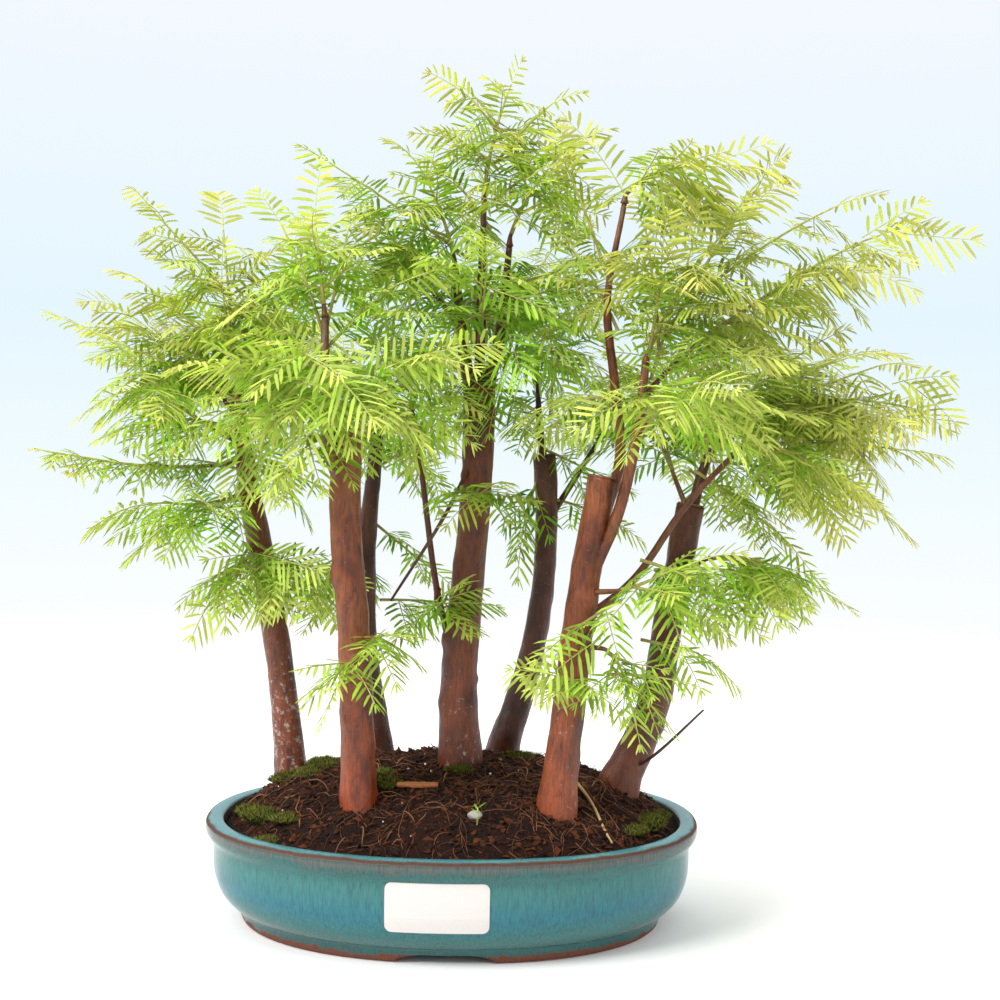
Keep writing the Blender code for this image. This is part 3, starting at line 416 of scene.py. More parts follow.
class PotSettings(bpy.types.PropertyGroup):
    rim_length: length_setting("Rim length", POT_HIGH.x - POT_LOW.x,
                               "Length of the pot over its rim")
    rim_width: length_setting("Rim width", POT_HIGH.y - POT_LOW.y,
                              "Width of the pot over its rim")
    glaze: colour_setting("Glaze", "#2b6a68", "Main colour of the glaze")
    glaze_band: colour_setting("Glaze band", "#1e6674", "Bluer band round the belly")
    glaze_thin: colour_setting("Thin glaze", "#48524e", "Glaze where it ran thin below the rim")
    glaze_rim: colour_setting("Rim glaze", "#44838a", "Glaze pooled on top of the rim")
    clay: colour_setting("Bare clay", "#6e3d29", "Clay on the feet and the rim's edge")
    label: colour_setting("Label", "#d6cfcb", "Paper of the blank label")


class SoilSettings(bpy.types.PropertyGroup):
    soil: colour_setting("Soil", "#220d05", "Damp soil")
    crumb_light: colour_setting("Light crumbs", "#54290f", "Dry bits on top")
    fibre: colour_setting("Root fibres", "#8e5f3f", "Fine dead roots")
    moss: colour_setting("Moss", "#56581d", "Moss cushions")
    crumbs: IntProperty(name="Crumbs", description="How many loose bits lie on the soil",
                        default=5200, min=0, max=8000)
    fibres: IntProperty(name="Fibres", description="How many fine roots lie on the soil",
                        default=760, min=0, max=1500)


class BarkSettings(bpy.types.PropertyGroup):
    bark: colour_setting("Bark", "#763a1b", "Old bark")
    bark_red: colour_setting("Red bark", "#93390f", "Bark where it has peeled to red")
    bark_olive: colour_setting("Olive bark", "#6c5a2c", "Younger bark higher up")
    twig: colour_setting("Twigs", "#b2b956", "Green wood of this year's shoots")
    lichen: colour_setting("Lichen", "#b9aca0", "Pale crust near the soil")
    relief: length_setting("Bark relief", 0.35 * MM, "Height of the ridges in the bark")


class LeafSettings(bpy.types.PropertyGroup):
    young: colour_setting("Young leaves", "#d8e276", "Leaflets at the ends of the shoots")
    middle: colour_setting("Leaves", "#abd63c", "Leaflets grown this spring")
    old: colour_setting("Old leaves", "#439420", "Leaflets inside the crown")
    blush: colour_setting("Bronze tint", "#dcc478", "Tint of the newest leaflets")
    leaflet_length: length_setting("Leaflet length", 22 * MM, "Longest leaflets of a frond")
    leaflet_width: length_setting("Leaflet width", 1.85 * MM, "Width of a leaflet")
    leaflet_gap: length_setting("Leaflet spacing", 3.9 * MM, "Distance between leaflets")
    fullness: FloatProperty(name="Fullness", description="How many extra sprays grow",
                            default=1.0, min=0, max=2, subtype="FACTOR")


class StageSettings(bpy.types.PropertyGroup):
    floor: colour_setting("Floor", "#f6f5f3", "Floor under the pot")
    key_power: FloatProperty(name="Key light", description="Power of the large front light",
                             default=30, min=0, unit="POWER")
    fill_power: FloatProperty(name="Fill light", description="Power of the side light",
                              default=5, min=0, unit="POWER")
    sky_strength: FloatProperty(name="Sky", description="Brightness of the pale backdrop",
                                default=1.0, min=0)
    keep_lights: BoolProperty(name="Lights", description="Add the studio lights",
                              default=True)


class ForestSettings(bpy.types.PropertyGroup):
    pot: PointerProperty(type=PotSettings)
    soil: PointerProperty(type=SoilSettings)
    bark: PointerProperty(type=BarkSettings)
    leaf: PointerProperty(type=LeafSettings)
    stage: PointerProperty(type=StageSettings)


def settings():
    return bpy.context.scene.forest


# ---------------------------------------------------------------- shapes


def place(points):
    """Points of the tables as metres in the frame."""
    return np.asarray(points, float) * MM + ORIGIN


def unit(rows):
    """Vectors scaled to length one."""
    return rows / np.maximum(np.linalg.norm(rows, axis=-1, keepdims=True), 1e-12)


def several(draw, count, low, high):
    """So many chance values between two limits."""
    return np.array([draw.uniform(low, high) for _ in range(count)])


class Shape:
    """Points, faces and growth values gathered for one mesh."""

    def __init__(self):
        self.points, self.faces, self.slots, self.values, self.count = [], [], [], [], 0

    def add(self, points, faces, slot=0, value=(0, 0, 0)):
        points = np.reshape(points, (-1, 3))
        for block in faces:
            block = np.asarray(block) + self.count
            self.faces.append(block)
            self.slots.append(np.full(len(block), slot))
        self.points.append(points)
        value = np.asarray(value, float)
        if value.shape[-1] == 3:
            value = np.concatenate([value, np.ones(value.shape[:-1] + (1,))], -1)
        self.values.append(np.broadcast_to(value, (len(points), 4)))
        self.count += len(points)

    def make(self, name, materials, smooth=True):
        mesh = bpy.data.meshes.new(name)
        faces = [row for block in self.faces for row in block.tolist()]
        mesh.from_pydata(np.vstack(self.points).tolist(), [], faces)
        for material in materials:
            mesh.materials.append(material)
        mesh.polygons.foreach_set("material_index", np.concatenate(self.slots).astype(int))
        mesh.polygons.foreach_set("use_smooth", [smooth] * len(mesh.polygons))
        tones = mesh.attributes.new("growth", "FLOAT_COLOR", "POINT")
        tones.data.foreach_set("color", np.vstack(self.values).ravel())
        mesh.update()
        made = bpy.data.objects.new(name, mesh)
        bpy.context.scene.collection.objects.link(made)
        return made


def settle(piece, slot, *nodes):
    """A finished piece rides on the plant, and stands for its solids."""
    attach(piece, "root")
    if nodes:
        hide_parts(*nodes)
    return piece


def smooth_line(points, sizes, step):
    """A rounded line through the points, about one step apart, and the sizes along it."""
    points = np.asarray(points, float)
    knots = np.vstack([2 * points[0] - points[1], points, 2 * points[-1] - points[-2]])
    line, places = [], []
    for k in range(1, len(knots) - 2):
        a, b, c, d = knots[k - 1:k + 3]
        count = max(2, int(math.ceil(np.linalg.norm(c - b) / step)))
        t = np.linspace(0, 1, count, endpoint=False)[:, None]
        line.append(0.5 * (2 * b + (c - a) * t + (2 * a - 5 * b + 4 * c - d) * t ** 2
                           + (3 * b - a - 3 * c + d) * t ** 3))
        places.append(k - 1 + t[:, 0])
    line.append(points[-1:])
    places.append(np.array([len(points) - 1.0]))
    return np.vstack(line), np.interp(np.concatenate(places), range(len(points)), sizes)


def frames(line):
    """The direction of a line at each point, and two more across it that never twist."""
    ahead = unit(np.gradient(line, axis=0))
    first = np.cross(ahead[0], (0, 1, 0) if abs(ahead[0][1]) < 0.8 else (1, 0, 0))
    across = [unit(first)]
    for way in ahead[1:]:
        across.append(unit(across[-1] - way * np.dot(across[-1], way)))
    across = np.array(across)
    return ahead, across, np.cross(ahead, across)


def grid_faces(rings, sides):
    """Faces between rings of points, closed round each ring."""
    low = np.arange(rings - 1)[:, None] * sides + np.arange(sides)[None, :]
    nxt = np.arange(rings - 1)[:, None] * sides + (np.arange(sides) + 1)[None, :] % sides
    return np.stack([low, nxt, nxt + sides, low + sides], -1).reshape(-1, 4)


def turns(sides):
    """The angles of the points of a ring."""
    return 2 * math.pi * np.arange(sides) / sides


def spokes(across, other, sides):
    """The ways from each point of a line out to the points of its ring."""
    turn = turns(sides)
    return (across[:, None] * np.cos(turn)[None, :, None]
            + other[:, None] * np.sin(turn)[None, :, None])


def fan(first, sides, tip, rising):
    """Triangles between a ring, which starts at the point first, and the point tip."""
    here = np.arange(sides)
    pair = [first + here, first + (here + 1) % sides]
    return np.stack([*(pair if rising else pair[::-1]), np.full(sides, tip)], -1)


def tube(shape, line, radii, sides, slot=0, value=(0, 0, 0), factor=None):
    """A closed tube along a line. factor scales the radius at every point of the rings."""
    _, across, other = frames(line)
    reach = np.asarray(radii, float)[:, None]
    reach = reach * (factor if factor is not None else np.ones((1, sides)))
    rings = line[:, None] + spokes(across, other, sides) * reach[..., None]
    points = np.vstack([rings.reshape(-1, 3), line[:1], line[-1:]])
    count = len(line) * sides
    shape.add(points, [grid_faces(len(line), sides), fan(0, sides, count, False),
                       fan(count - sides, sides, count + 1, True)], slot, value)


def oval(half_length, half_width, z, steps):
    """A ring of points on an oval with slightly full corners, in millimetres."""
    across, along = np.cos(turns(steps)), np.sin(turns(steps))
    x = half_length * np.sign(across) * np.abs(across) ** (2 / OVAL_POWER)
    y = half_width * np.sign(along) * np.abs(along) ** (2 / OVAL_POWER)
    return np.stack([x, y, np.full(steps, float(z))], -1)


def wall_ring(inset, height, steps):
    """The pot's oval at an inset from the rim."""
    pot = settings().pot
    return oval(pot.rim_length / MM / 2 - inset, pot.rim_width / MM / 2 - inset * WIDTH_INSET,
                height, steps)


def round_off(profile, times):
    """A profile with its corners cut back again and again."""
    profile = [np.array(p, float) for p in profile]
    for _ in range(times):
        cut = [profile[0]]
        for a, b in zip(profile, profile[1:]):
            near = min(0.25, 1.6 / max(np.linalg.norm(b - a), 1e-6))
            cut += [a + (b - a) * near, b + (a - b) * near]
        profile = cut + [profile[-1]]
    return profile


def wall_y(x, z):
    """Where the front of the pot's wall lies at a given x and height, in millimetres."""
    pot = settings().pot
    for (inset_a, low), (inset_b, high) in zip(POT_OUTSIDE, POT_OUTSIDE[1:]):
        if low <= z <= high and low >= FOOT_TOP:
            inset = inset_a + (inset_b - inset_a) * (z - low) / (high - low)
            reach = abs(x) / (pot.rim_length / MM / 2 - inset)
            width = pot.rim_width / MM / 2 - inset * WIDTH_INSET
            return -width * (1 - reach ** OVAL_POWER) ** (1 / OVAL_POWER)
    raise ValueError("no wall at this height")


def ripple(point, waves, seed=0.0):
    """Smooth noise from -1 to 1 at a point in metres, with so many waves to a metre."""
    return noise.noise(Vector(point) * waves + Vector((seed, seed * 1.7, -seed)))


# ---------------------------------------------------------------- materials


def per_metre(size_mm):
    """The scale of a pattern whose features are this many millimetres across."""
    return 1000 / size_mm


def add_node(tree, kind, values=(), links=()):
    """Add a shader node, set its values by name or input number, and link its inputs."""
    made = tree.nodes.new("ShaderNode" + kind)
    for key, value in dict(values).items():
        if key == "stops":
            marks = made.color_ramp.elements
            while len(marks) < len(value):
                marks.new(0.5)
            for stop, (position, colour) in zip(marks, value):
                stop.position = position
                stop.color = (*colour, 1)
        elif isinstance(key, int) or key in made.inputs:
            if hasattr(value, "__len__") and len(value) == 3 and \
                    made.inputs[key].type == "RGBA":
                value = (*value, 1)
            made.inputs[key].default_value = value
        else:
            setattr(made, key, value)
    for key, (source, output) in dict(links).items():
        tree.links.new(source.outputs[output], made.inputs[key])
    return made


def wired(tree, kind, setup, parts):
    """Add a node whose inputs are numbers, colours, and outputs of other nodes."""
    links = {key: part for key, part in parts.items()
             if isinstance(part, tuple) and isinstance(part[0], bpy.types.Node)}
    values = {key: part for key, part in parts.items() if key not in links}
    return add_node(tree, kind, {**setup, **values}, links)


def maths(tree, operation, *parts):
    """The result of an operation on numbers and outputs."""
    return wired(tree, "Math", {"operation": operation}, dict(enumerate(parts)))


def mixed(tree, share, first, second, blend="MIX"):
    """A colour with a share of a second one in it."""
    return wired(tree, "Mix", {"data_type": "RGBA", "blend_type": blend},
                 {0: share, 6: first, 7: second})


def multiplied(tree, first, second, share=1.0):
    """A colour darkened or lightened by a second one."""
    return mixed(tree, share, first, second, "MULTIPLY")


def noise_node(tree, size_mm, detail, at, **more):
    """Noise whose features are so many millimetres across."""
    return add_node(tree, "TexNoise", {"Scale": per_metre(size_mm), "Detail": detail, **more}, at)


def ramp(tree, source, stops):
    """Colours by the value of an output, through stops at given positions."""
    return add_node(tree, "ValToRGB", {"stops": stops}, {0: source})


def remap(tree, source, low, high, to_low=0, to_high=1, **more):
    """An output carried from one range over to another."""
    return add_node(tree, "MapRange", {"From Min": low, "From Max": high, "To Min": to_low,
                                       "To Max": to_high, **more}, {"Value": source})


def shaded(colour, factor):
    """A colour made darker or lighter."""
    return [min(1, part * factor) for part in colour]


def new_material(name):
    """An empty material, its tree, and the link that gives a node the object's coordinates."""
    made = bpy.data.materials.new(name)
    made.use_nodes = True
    tree = made.node_tree
    tree.nodes.clear()
    return made, tree, {"Vector": (add_node(tree, "TexCoord"), "Object")}


def finish_material(made, shader, output="BSDF"):
    """The material with its shader in place."""
    add_node(made.node_tree, "OutputMaterial", {}, {"Surface": (shader, output)})
    return made


def growth_values(tree):
    """The node that reads the growth value, and the node that splits it in three."""
    state = add_node(tree, "Attribute", {"attribute_name": "growth"})
    return state, add_node(tree, "SeparateColor", {}, {0: (state, "Color")})


def glazed_stoneware():
    """Stoneware dipped in a copper glaze: glossy, streaked where it ran, bluer and deeper
    where it is thick on the belly, thin and grey below the rim, light where it pooled on the
    rim's top, broken to brown along the rim's edge, and bare red clay at the foot."""
    pot = settings().pot
    made, tree, at = new_material("glazed_stoneware")
    spot = add_node(tree, "SeparateXYZ", {}, at)
    # runs of glaze about 0.9 mm wide and many times as long
    run_map = add_node(tree, "Mapping", {"Scale": (1, 1, 0.12)}, at)
    runs = noise_node(tree, 0.9, 4, {"Vector": (run_map, 0)}, Roughness=0.65)
    clouds = noise_node(tree, 22, 3, at, Roughness=0.55)
    # height, made uneven by the clouds so that no band is a ruled line
    sway = maths(tree, "MULTIPLY_ADD", (clouds, "Fac"), 9 * MM, -4.5 * MM)
    height = maths(tree, "ADD", (spot, "Z"), (sway, 0))
    share = remap(tree, (height, 0), 0.0, 58 * MM)
    band = ramp(tree, (share, 0), [
        (0.0, shaded(pot.glaze_thin, 0.8)), (0.1, shaded(pot.glaze, 0.62)),
        (0.26, shaded(pot.glaze, 0.88)), (0.46, pot.glaze_band), (0.7, pot.glaze),
        (0.86, shaded(pot.glaze, 0.7)), (0.91, shaded(pot.glaze_thin, 0.95))])
    streak = ramp(tree, (runs, "Fac"), [
        (0.3, (0.5, 0.6, 0.66)), (0.5, (1, 1, 1)), (0.72, (1.5, 1.3, 1.2))])
    pooled = remap(tree, (spot, "Z"), 56.9 * MM, 57.3 * MM)
    topped = mixed(tree, (pooled, 0), (band, 0), pot.glaze_rim)
    glaze = multiplied(tree, (topped, 2), (streak, 0))
    # pinholes half a millimetre wide
    holes = add_node(tree, "TexVoronoi", {"Scale": per_metre(6)}, at)
    pin = remap(tree, (holes, "Distance"), 0.035, 0.06, 0.35, 1.0)
    pitted = multiplied(tree, (glaze, 2), (pin, 0))
    # bare clay at the foot, up to about 5 mm with a wandering edge
    wander = noise_node(tree, 9, 4, at)
    edge = maths(tree, "MULTIPLY_ADD", (wander, "Fac"), 9 * MM, -4.5 * MM)
    level = maths(tree, "ADD", (spot, "Z"), (edge, 0))
    foot = remap(tree, (level, 0), 3.4 * MM, 4.6 * MM, 1.0, 0.0)
    # the rim's outer edge: a line 1.5 mm high, only outside the middle of the rim
    centred = add_node(tree, "VectorMath", {"operation": "SUBTRACT", 1: ORIGIN}, at)
    sized = add_node(tree, "VectorMath",
                     {"operation": "MULTIPLY", 1: (2 / pot.rim_length, 2 / pot.rim_width, 0)},
                     {0: (centred, 0)})
    reach = add_node(tree, "VectorMath", {"operation": "LENGTH"}, {0: (sized, 0)})
    outside = remap(tree, (reach, "Value"), 0.972, 0.982)
    line_up = maths(tree, "MULTIPLY_ADD", (edge, 0), 0.15, (spot, "Z"))
    away = maths(tree, "SUBTRACT", (line_up, 0), 56.3 * MM)
    off = maths(tree, "ABSOLUTE", (away, 0))
    line = remap(tree, (off, 0), 0.5 * MM, 1.1 * MM, 0.9, 0.0)
    broken = maths(tree, "MULTIPLY", (line, 0), (outside, 0))
    dim = remap(tree, (broken, 0), 0, 1, 1.0, 0.45)
    bare = maths(tree, "MAXIMUM", (foot, 0), (broken, 0))
    grit = noise_node(tree, 0.7, 5, at)
    clay = ramp(tree, (grit, "Fac"), [
        (0.3, shaded(pot.clay, 0.45)), (0.55, pot.clay), (0.75, shaded(pot.clay, 1.5))])
    worn = multiplied(tree, (clay, 0), (dim, 0))
    colour = mixed(tree, (bare, 0), (pitted, 2), (worn, 2))
    rough = remap(tree, (bare, 0), 0, 1, 0.2, 0.85)
    skin = maths(tree, "MULTIPLY_ADD", (runs, "Fac"), 0.5, (pin, 0))
    bump = add_node(tree, "Bump", {"Strength": 0.4, "Distance": 0.15 * MM}, {"Height": (skin, 0)})
    shader = add_node(tree, "BsdfPrincipled", {"IOR": 1.5},
                      {"Base Color": (colour, 2), "Roughness": (rough, 0), "Normal": (bump, 0)})
    return finish_material(made, shader)


def label_paper():
    """Coated label paper: nearly white, with a soft sheen and a faint fibre mottle."""
    made, tree, at = new_material("coated_label_paper")
    mottle = noise_node(tree, 0.9, 4, at)
    tone = settings().pot.label
    colour = ramp(tree, (mottle, "Fac"), [(0.3, [c * 0.95 for c in tone]), (0.7, tone)])
    bump = add_node(tree, "Bump", {"Strength": 0.08, "Distance": 0.03 * MM},
                    {"Height": (mottle, "Fac")})
    shader = add_node(tree, "BsdfPrincipled", {"Roughness": 0.36, "IOR": 1.48},
                      {"Base Color": (colour, 0), "Normal": (bump, 0)})
    return finish_material(made, shader)


def moulded_net():
    """Moulded polyethylene net: black, slightly waxy."""
    made, tree, at = new_material("moulded_polyethylene_net")
    haze = noise_node(tree, 1.2, 3, at)
    colour = ramp(tree, (haze, "Fac"), [(0.3, linear("#17181a")), (0.7, linear("#2a2c2e"))])
    shader = add_node(tree, "BsdfPrincipled", {"Roughness": 0.48, "IOR": 1.5},
                      {"Base Color": (colour, 0)})
    return finish_material(made, shader)


def damp_soil():
    """Damp peat and bark compost, red-brown where it crumbles, with painted shade that turns the
    hollows of its bumps nearly black.
    """
    soil = settings().soil
    made, tree, at = new_material("damp_compost")
    crumbs = noise_node(tree, 2.5, 6, at, Roughness=0.7)
    patches = noise_node(tree, 30, 2, at)
    # the same noise lifts the bump: its lowest values, the hollows, are painted nearly black as
    # shade
    colour = ramp(tree, (crumbs, "Fac"), [
        (0.3, shaded(soil.soil, 0.3)), (0.55, soil.soil), (0.8, soil.crumb_light)])
    tint = ramp(tree, (patches, "Fac"), [(0.35, (0.75, 0.72, 0.7)), (0.65, (1.25, 1.1, 0.95))])
    tinted = multiplied(tree, (colour, 0), (tint, 0))
    bump = add_node(tree, "Bump", {"Strength": 0.9, "Distance": 1.2 * MM},
                    {"Height": (crumbs, "Fac")})
    shader = add_node(tree, "BsdfPrincipled", {"Roughness": 0.93, "Specular IOR Level": 0.25},
                      {"Base Color": (tinted, 2), "Normal": (bump, 0)})
    return finish_material(made, shader)


def toned(name, dark, light, rough, grain_mm, depth_mm):
    """A dull natural surface between two colours, picked for each bit by its own value, with
    a fine grain of a given width and depth. Each use says what the real one gives the eye."""
    made, tree, at = new_material(name)
    _, split = growth_values(tree)
    grain = noise_node(tree, grain_mm, 4, at)
    sum_up = maths(tree, "MULTIPLY_ADD", (grain, "Fac"), 0.7, (split, 0))
    colour = ramp(tree, (sum_up, 0), [(0.3, dark), (1.0, light)])
    bump = add_node(tree, "Bump", {"Strength": 0.6, "Distance": depth_mm * MM},
                    {"Height": (grain, "Fac")})
    shader = add_node(tree, "BsdfPrincipled", {"Roughness": rough, "Specular IOR Level": 0.3},
                      {"Base Color": (colour, 0), "Normal": (bump, 0)})
    return finish_material(made, shader)


def grown_bark():
    """Dawn redwood bark: red-brown, faintly glossy, drawn out into fine upright fibres, with
    darker stains where scales peeled, short level lenticels, olive where it is younger and
    pale crusts of lichen low down. The growth value holds olive, redness, lichen and light."""
    bark = settings().bark
    made, tree, at = new_material("peeling_redwood_bark")
    state, split = growth_values(tree)
    # fibres 0.9 mm wide and some 12 mm long
    fibre_map = add_node(tree, "Mapping", {"Scale": (1, 1, 0.08)}, at)
    fibres = noise_node(tree, 0.9, 5, {"Vector": (fibre_map, 0)}, Roughness=0.65)
    # scales some 5 mm across, and stains of 16 mm
    flake_map = add_node(tree, "Mapping", {"Scale": (1, 1, 0.5)}, at)
    flakes = noise_node(tree, 5, 6, {"Vector": (flake_map, 0)}, Roughness=0.68, Distortion=0.8)
    stains = noise_node(tree, 16, 3, {"Vector": (flake_map, 0)}, Roughness=0.55)
    # lenticels: short level dashes 2 mm long
    dash_map = add_node(tree, "Mapping", {"Scale": (1, 1, 2.4)}, at)
    dashes = add_node(tree, "TexVoronoi", {"Scale": per_metre(6)}, {"Vector": (dash_map, 0)})
    dash = remap(tree, (dashes, "Distance"), 0.07, 0.16, 0.45, 0.0)
    foot = maths(tree, "MULTIPLY", (split, 1), 0.8)
    red = mixed(tree, (foot, 0), bark.bark, bark.bark_red)
    olive_at = remap(tree, (stains, "Fac"), 0.45, 0.6)
    young = maths(tree, "MULTIPLY", (olive_at, 0), (split, 0))
    olive = mixed(tree, (young, 0), (red, 2), bark.bark_olive)
    grain = ramp(tree, (fibres, "Fac"), [
        (0.3, (0.45, 0.42, 0.4)), (0.5, (1, 1, 1)), (0.72, (1.55, 1.5, 1.45))])
    scales = ramp(tree, (flakes, "Fac"), [
        (0.32, (0.4, 0.36, 0.35)), (0.47, (0.95, 0.95, 0.95)), (0.6, (1.1, 1.08, 1.05)),
        (0.72, (1.7, 1.6, 1.5))])
    blots = ramp(tree, (stains, "Fac"), [
        (0.34, (0.42, 0.37, 0.35)), (0.48, (1, 1, 1)), (0.66, (1.35, 1.3, 1.26))])
    shades = olive
    for factor in (grain, scales, blots):
        shades = multiplied(tree, (shades, 2), (factor, 0), 0.85)
    light = multiplied(tree, (shades, 2), (state, "Alpha"))
    dashed = mixed(tree, (dash, 0), (light, 2), linear("#8d5f47"))
    crust = noise_node(tree, 3.5, 6, at, Roughness=0.72)
    crust_up = maths(tree, "MULTIPLY_ADD", (split, 2), 0.26, (crust, "Fac"))
    crust_at = remap(tree, (crust_up, 0), 0.74, 0.84, 0, 0.7)
    colour = mixed(tree, (crust_at, 0), (dashed, 2), bark.lichen)
    rise = maths(tree, "ADD", (fibres, "Fac"), (flakes, "Fac"))
    relief = maths(tree, "ADD", (rise, 0), (dash, 0))
    bump = add_node(tree, "Bump", {"Strength": 0.8, "Distance": 0.5 * MM}, {"Height": (relief, 0)})
    shader = add_node(tree, "BsdfPrincipled", {"Roughness": 0.36, "IOR": 1.48},
                      {"Base Color": (colour, 2), "Normal": (bump, 0)})
    return finish_material(made, shader)


def sawn_wood():
    """Sawn redwood end grain, weathered grey-brown, with faint growth rings."""
    made, tree, at = new_material("sawn_redwood")
    rings = noise_node(tree, 1.1, 4, at)
    colour = ramp(tree, (rings, "Fac"), [
        (0.3, linear("#4a2f22")), (0.55, linear("#8a6248")), (0.75, linear("#b08b69"))])
    bump = add_node(tree, "Bump", {"Strength": 0.6, "Distance": 0.3 * MM},
                    {"Height": (rings, "Fac")})
    shader = add_node(tree, "BsdfPrincipled", {"Roughness": 0.85},
                      {"Base Color": (colour, 0), "Normal": (bump, 0)})
    return finish_material(made, shader)


def living_leaf():
    """Soft spring leaves: thin enough to glow with light from behind, faintly waxy.
    The growth value holds age, which painted shade lowers round the crown's heart, a bronze tint
    and a chance shade."""
    leaf = settings().leaf
    made, tree, at = new_material("living_redwood_leaf")
    _, split = growth_values(tree)
    cells = noise_node(tree, 2.5, 3, at)
    # the age value also carries painted shade: it is lower round the crown's heart, so those
    # leaflets turn deep green
    age_and_shade = maths(tree, "MULTIPLY_ADD", (cells, "Fac"), 0.16, (split, 0))
    green = ramp(tree, (age_and_shade, 0), [(0.1, leaf.old), (0.55, leaf.middle), (1.0, leaf.young)])
    bronze = mixed(tree, (split, 1), (green, 0), leaf.blush)
    bright = remap(tree, (split, 2), 0, 1, 0.72, 1.2)
    colour = multiplied(tree, (bronze, 2), (bright, 0))
    shader = add_node(tree, "BsdfPrincipled",
                      {"Roughness": 0.5, "IOR": 1.42, "Specular IOR Level": 0.3},
                      {"Base Color": (colour, 2)})
    glow = add_node(tree, "BsdfTranslucent", {}, {"Color": (colour, 2)})
    both = add_node(tree, "MixShader", {0: 0.45}, {1: (shader, 0), 2: (glow, 0)})
    return finish_material(made, both, 0)


def green_twig():
    """Green wood of this year's shoots: smooth, olive, browner towards its foot."""
    bark = settings().bark
    made, tree, at = new_material("green_redwood_twig")
    _, split = growth_values(tree)
    streaks = noise_node(tree, 1.5, 4, at)
    wood = mixed(tree, (split, 0), linear("#7d5a3a"), bark.twig)
    shade = ramp(tree, (streaks, "Fac"), [(0.3, (0.7, 0.68, 0.65)), (0.7, (1.15, 1.12, 1.1))])
    colour = multiplied(tree, (wood, 2), (shade, 0))
    shader = add_node(tree, "BsdfPrincipled", {"Roughness": 0.5}, {"Base Color": (colour, 2)})
    return finish_material(made, shader)


def matt_floor():
    """Matt white studio floor, fading out at its rim into the pale backdrop."""
    stage = settings().stage
    made, tree, at = new_material("matt_floor")
    reach = add_node(tree, "VectorMath", {"operation": "LENGTH"}, at)
    fade = remap(tree, (reach, "Value"), 0.5, 2.25, interpolation_type="SMOOTHSTEP")
    dust = noise_node(tree, 60, 2, at)
    tone = ramp(tree, (dust, "Fac"), [(0.3, [c * 0.985 for c in stage.floor]), (0.7, stage.floor)])
    shader = add_node(tree, "BsdfPrincipled", {"Roughness": 0.7}, {"Base Color": (tone, 0)})
    clear = add_node(tree, "BsdfTransparent")
    both = add_node(tree, "MixShader", {}, {0: (fade, 0), 1: (shader, 0), 2: (clear, 0)})
    return finish_material(made, both, 0)


MAKERS = {}


def surface(maker, *details):
    """The material that a function makes, made once."""
    key = (maker.__name__, details[:1])
    if key not in MAKERS:
        MAKERS[key] = maker(*details)
    return MAKERS[key]


# ---------------------------------------------------------------- pot


def make_pot():
    """The oval pot: a lofted wall with soft edges, cloud feet and drain holes."""
    steps = 256
    profile = round_off(POT_OUTSIDE + POT_INSIDE, 2)
    shape = Shape()
    rings = np.array([wall_ring(inset, height, steps) for inset, height in profile])
    for ring in rings:
        for point in ring:
            swell = 0.28 * ripple(point * MM, 26) + 0.12 * ripple(point * MM, 90, 4)
            point[:2] *= 1 + swell / 140
    count = len(rings)
    ends = [np.arange(steps)[::-1][None], (count - 1) * steps + np.arange(steps)[None]]
    shape.add(place(rings.reshape(-1, 3)), [grid_faces(count, steps), *ends])
    pot = shape.make("pot_glazed", [surface(glazed_stoneware)])
    cuts = [gap_cutter(FOOT_GAP_FRONT, False), gap_cutter(FOOT_GAP_END, True)]
    for side in (-1, 1):
        hole = Shape()
        line = place([(side * DRAIN_OFFSET, 0, z) for z in (2, 7, 13, 18)])
        radii = np.array([1.12, 1, 1, 1.12]) * DRAIN_RADIUS * MM
        tube(hole, line, radii, 48)
        cuts.append(hole.make("drain_cut", []))
    cut_away(pot, cuts)
    bpy.context.view_layer.update()
    return settle(pot, "glaze", "pot")


def gap_cutter(width, crosswise):
    """A flat arch that leaves two feet on either side of it."""
    half, high = width / 2, FOOT_GAP_HEIGHT
    arch = [(-half, -4), (-half, 0.4), (-half + 2, 2.4), (-half + 5, 3.4), (-half + 9, high - 0.4),
            (-half + 14, high)]
    arch += [(-x, z) for x, z in reversed(arch)]
    points = []
    for far in (-200, 200):
        points += [(far, x, z) if crosswise else (x, far, z) for x, z in arch]
    count = len(arch)
    here = np.arange(count)
    after = (here + 1) % count
    shape = Shape()
    shape.add(place(points), [np.stack([here, after, after + count, here + count], -1),
                              here[::-1][None], (here + count)[None]])
    return shape.make("gap_cut", [])


def cut_away(piece, cuts):
    """Cut shapes from a piece and keep the result as its mesh."""
    group = bpy.data.collections.new("cuts")
    bpy.context.scene.collection.children.link(group)
    for item in cuts:
        tidy = bmesh.new()
        tidy.from_mesh(item.data)
        bmesh.ops.recalc_face_normals(tidy, faces=tidy.faces)
        tidy.to_mesh(item.data)
        tidy.free()
        bpy.context.scene.collection.objects.unlink(item)
        group.objects.link(item)
    change = piece.modifiers.new("cut", "BOOLEAN")
    change.operation, change.solver = "DIFFERENCE", "EXACT"
    change.operand_type, change.collection = "COLLECTION", group
    graph = bpy.context.evaluated_depsgraph_get()
    piece.data = bpy.data.meshes.new_from_object(piece.evaluated_get(graph))
    piece.data.name = piece.name
    piece.modifiers.clear()
    for item in list(group.objects):
        bpy.data.objects.remove(item)
    bpy.data.collections.remove(group)


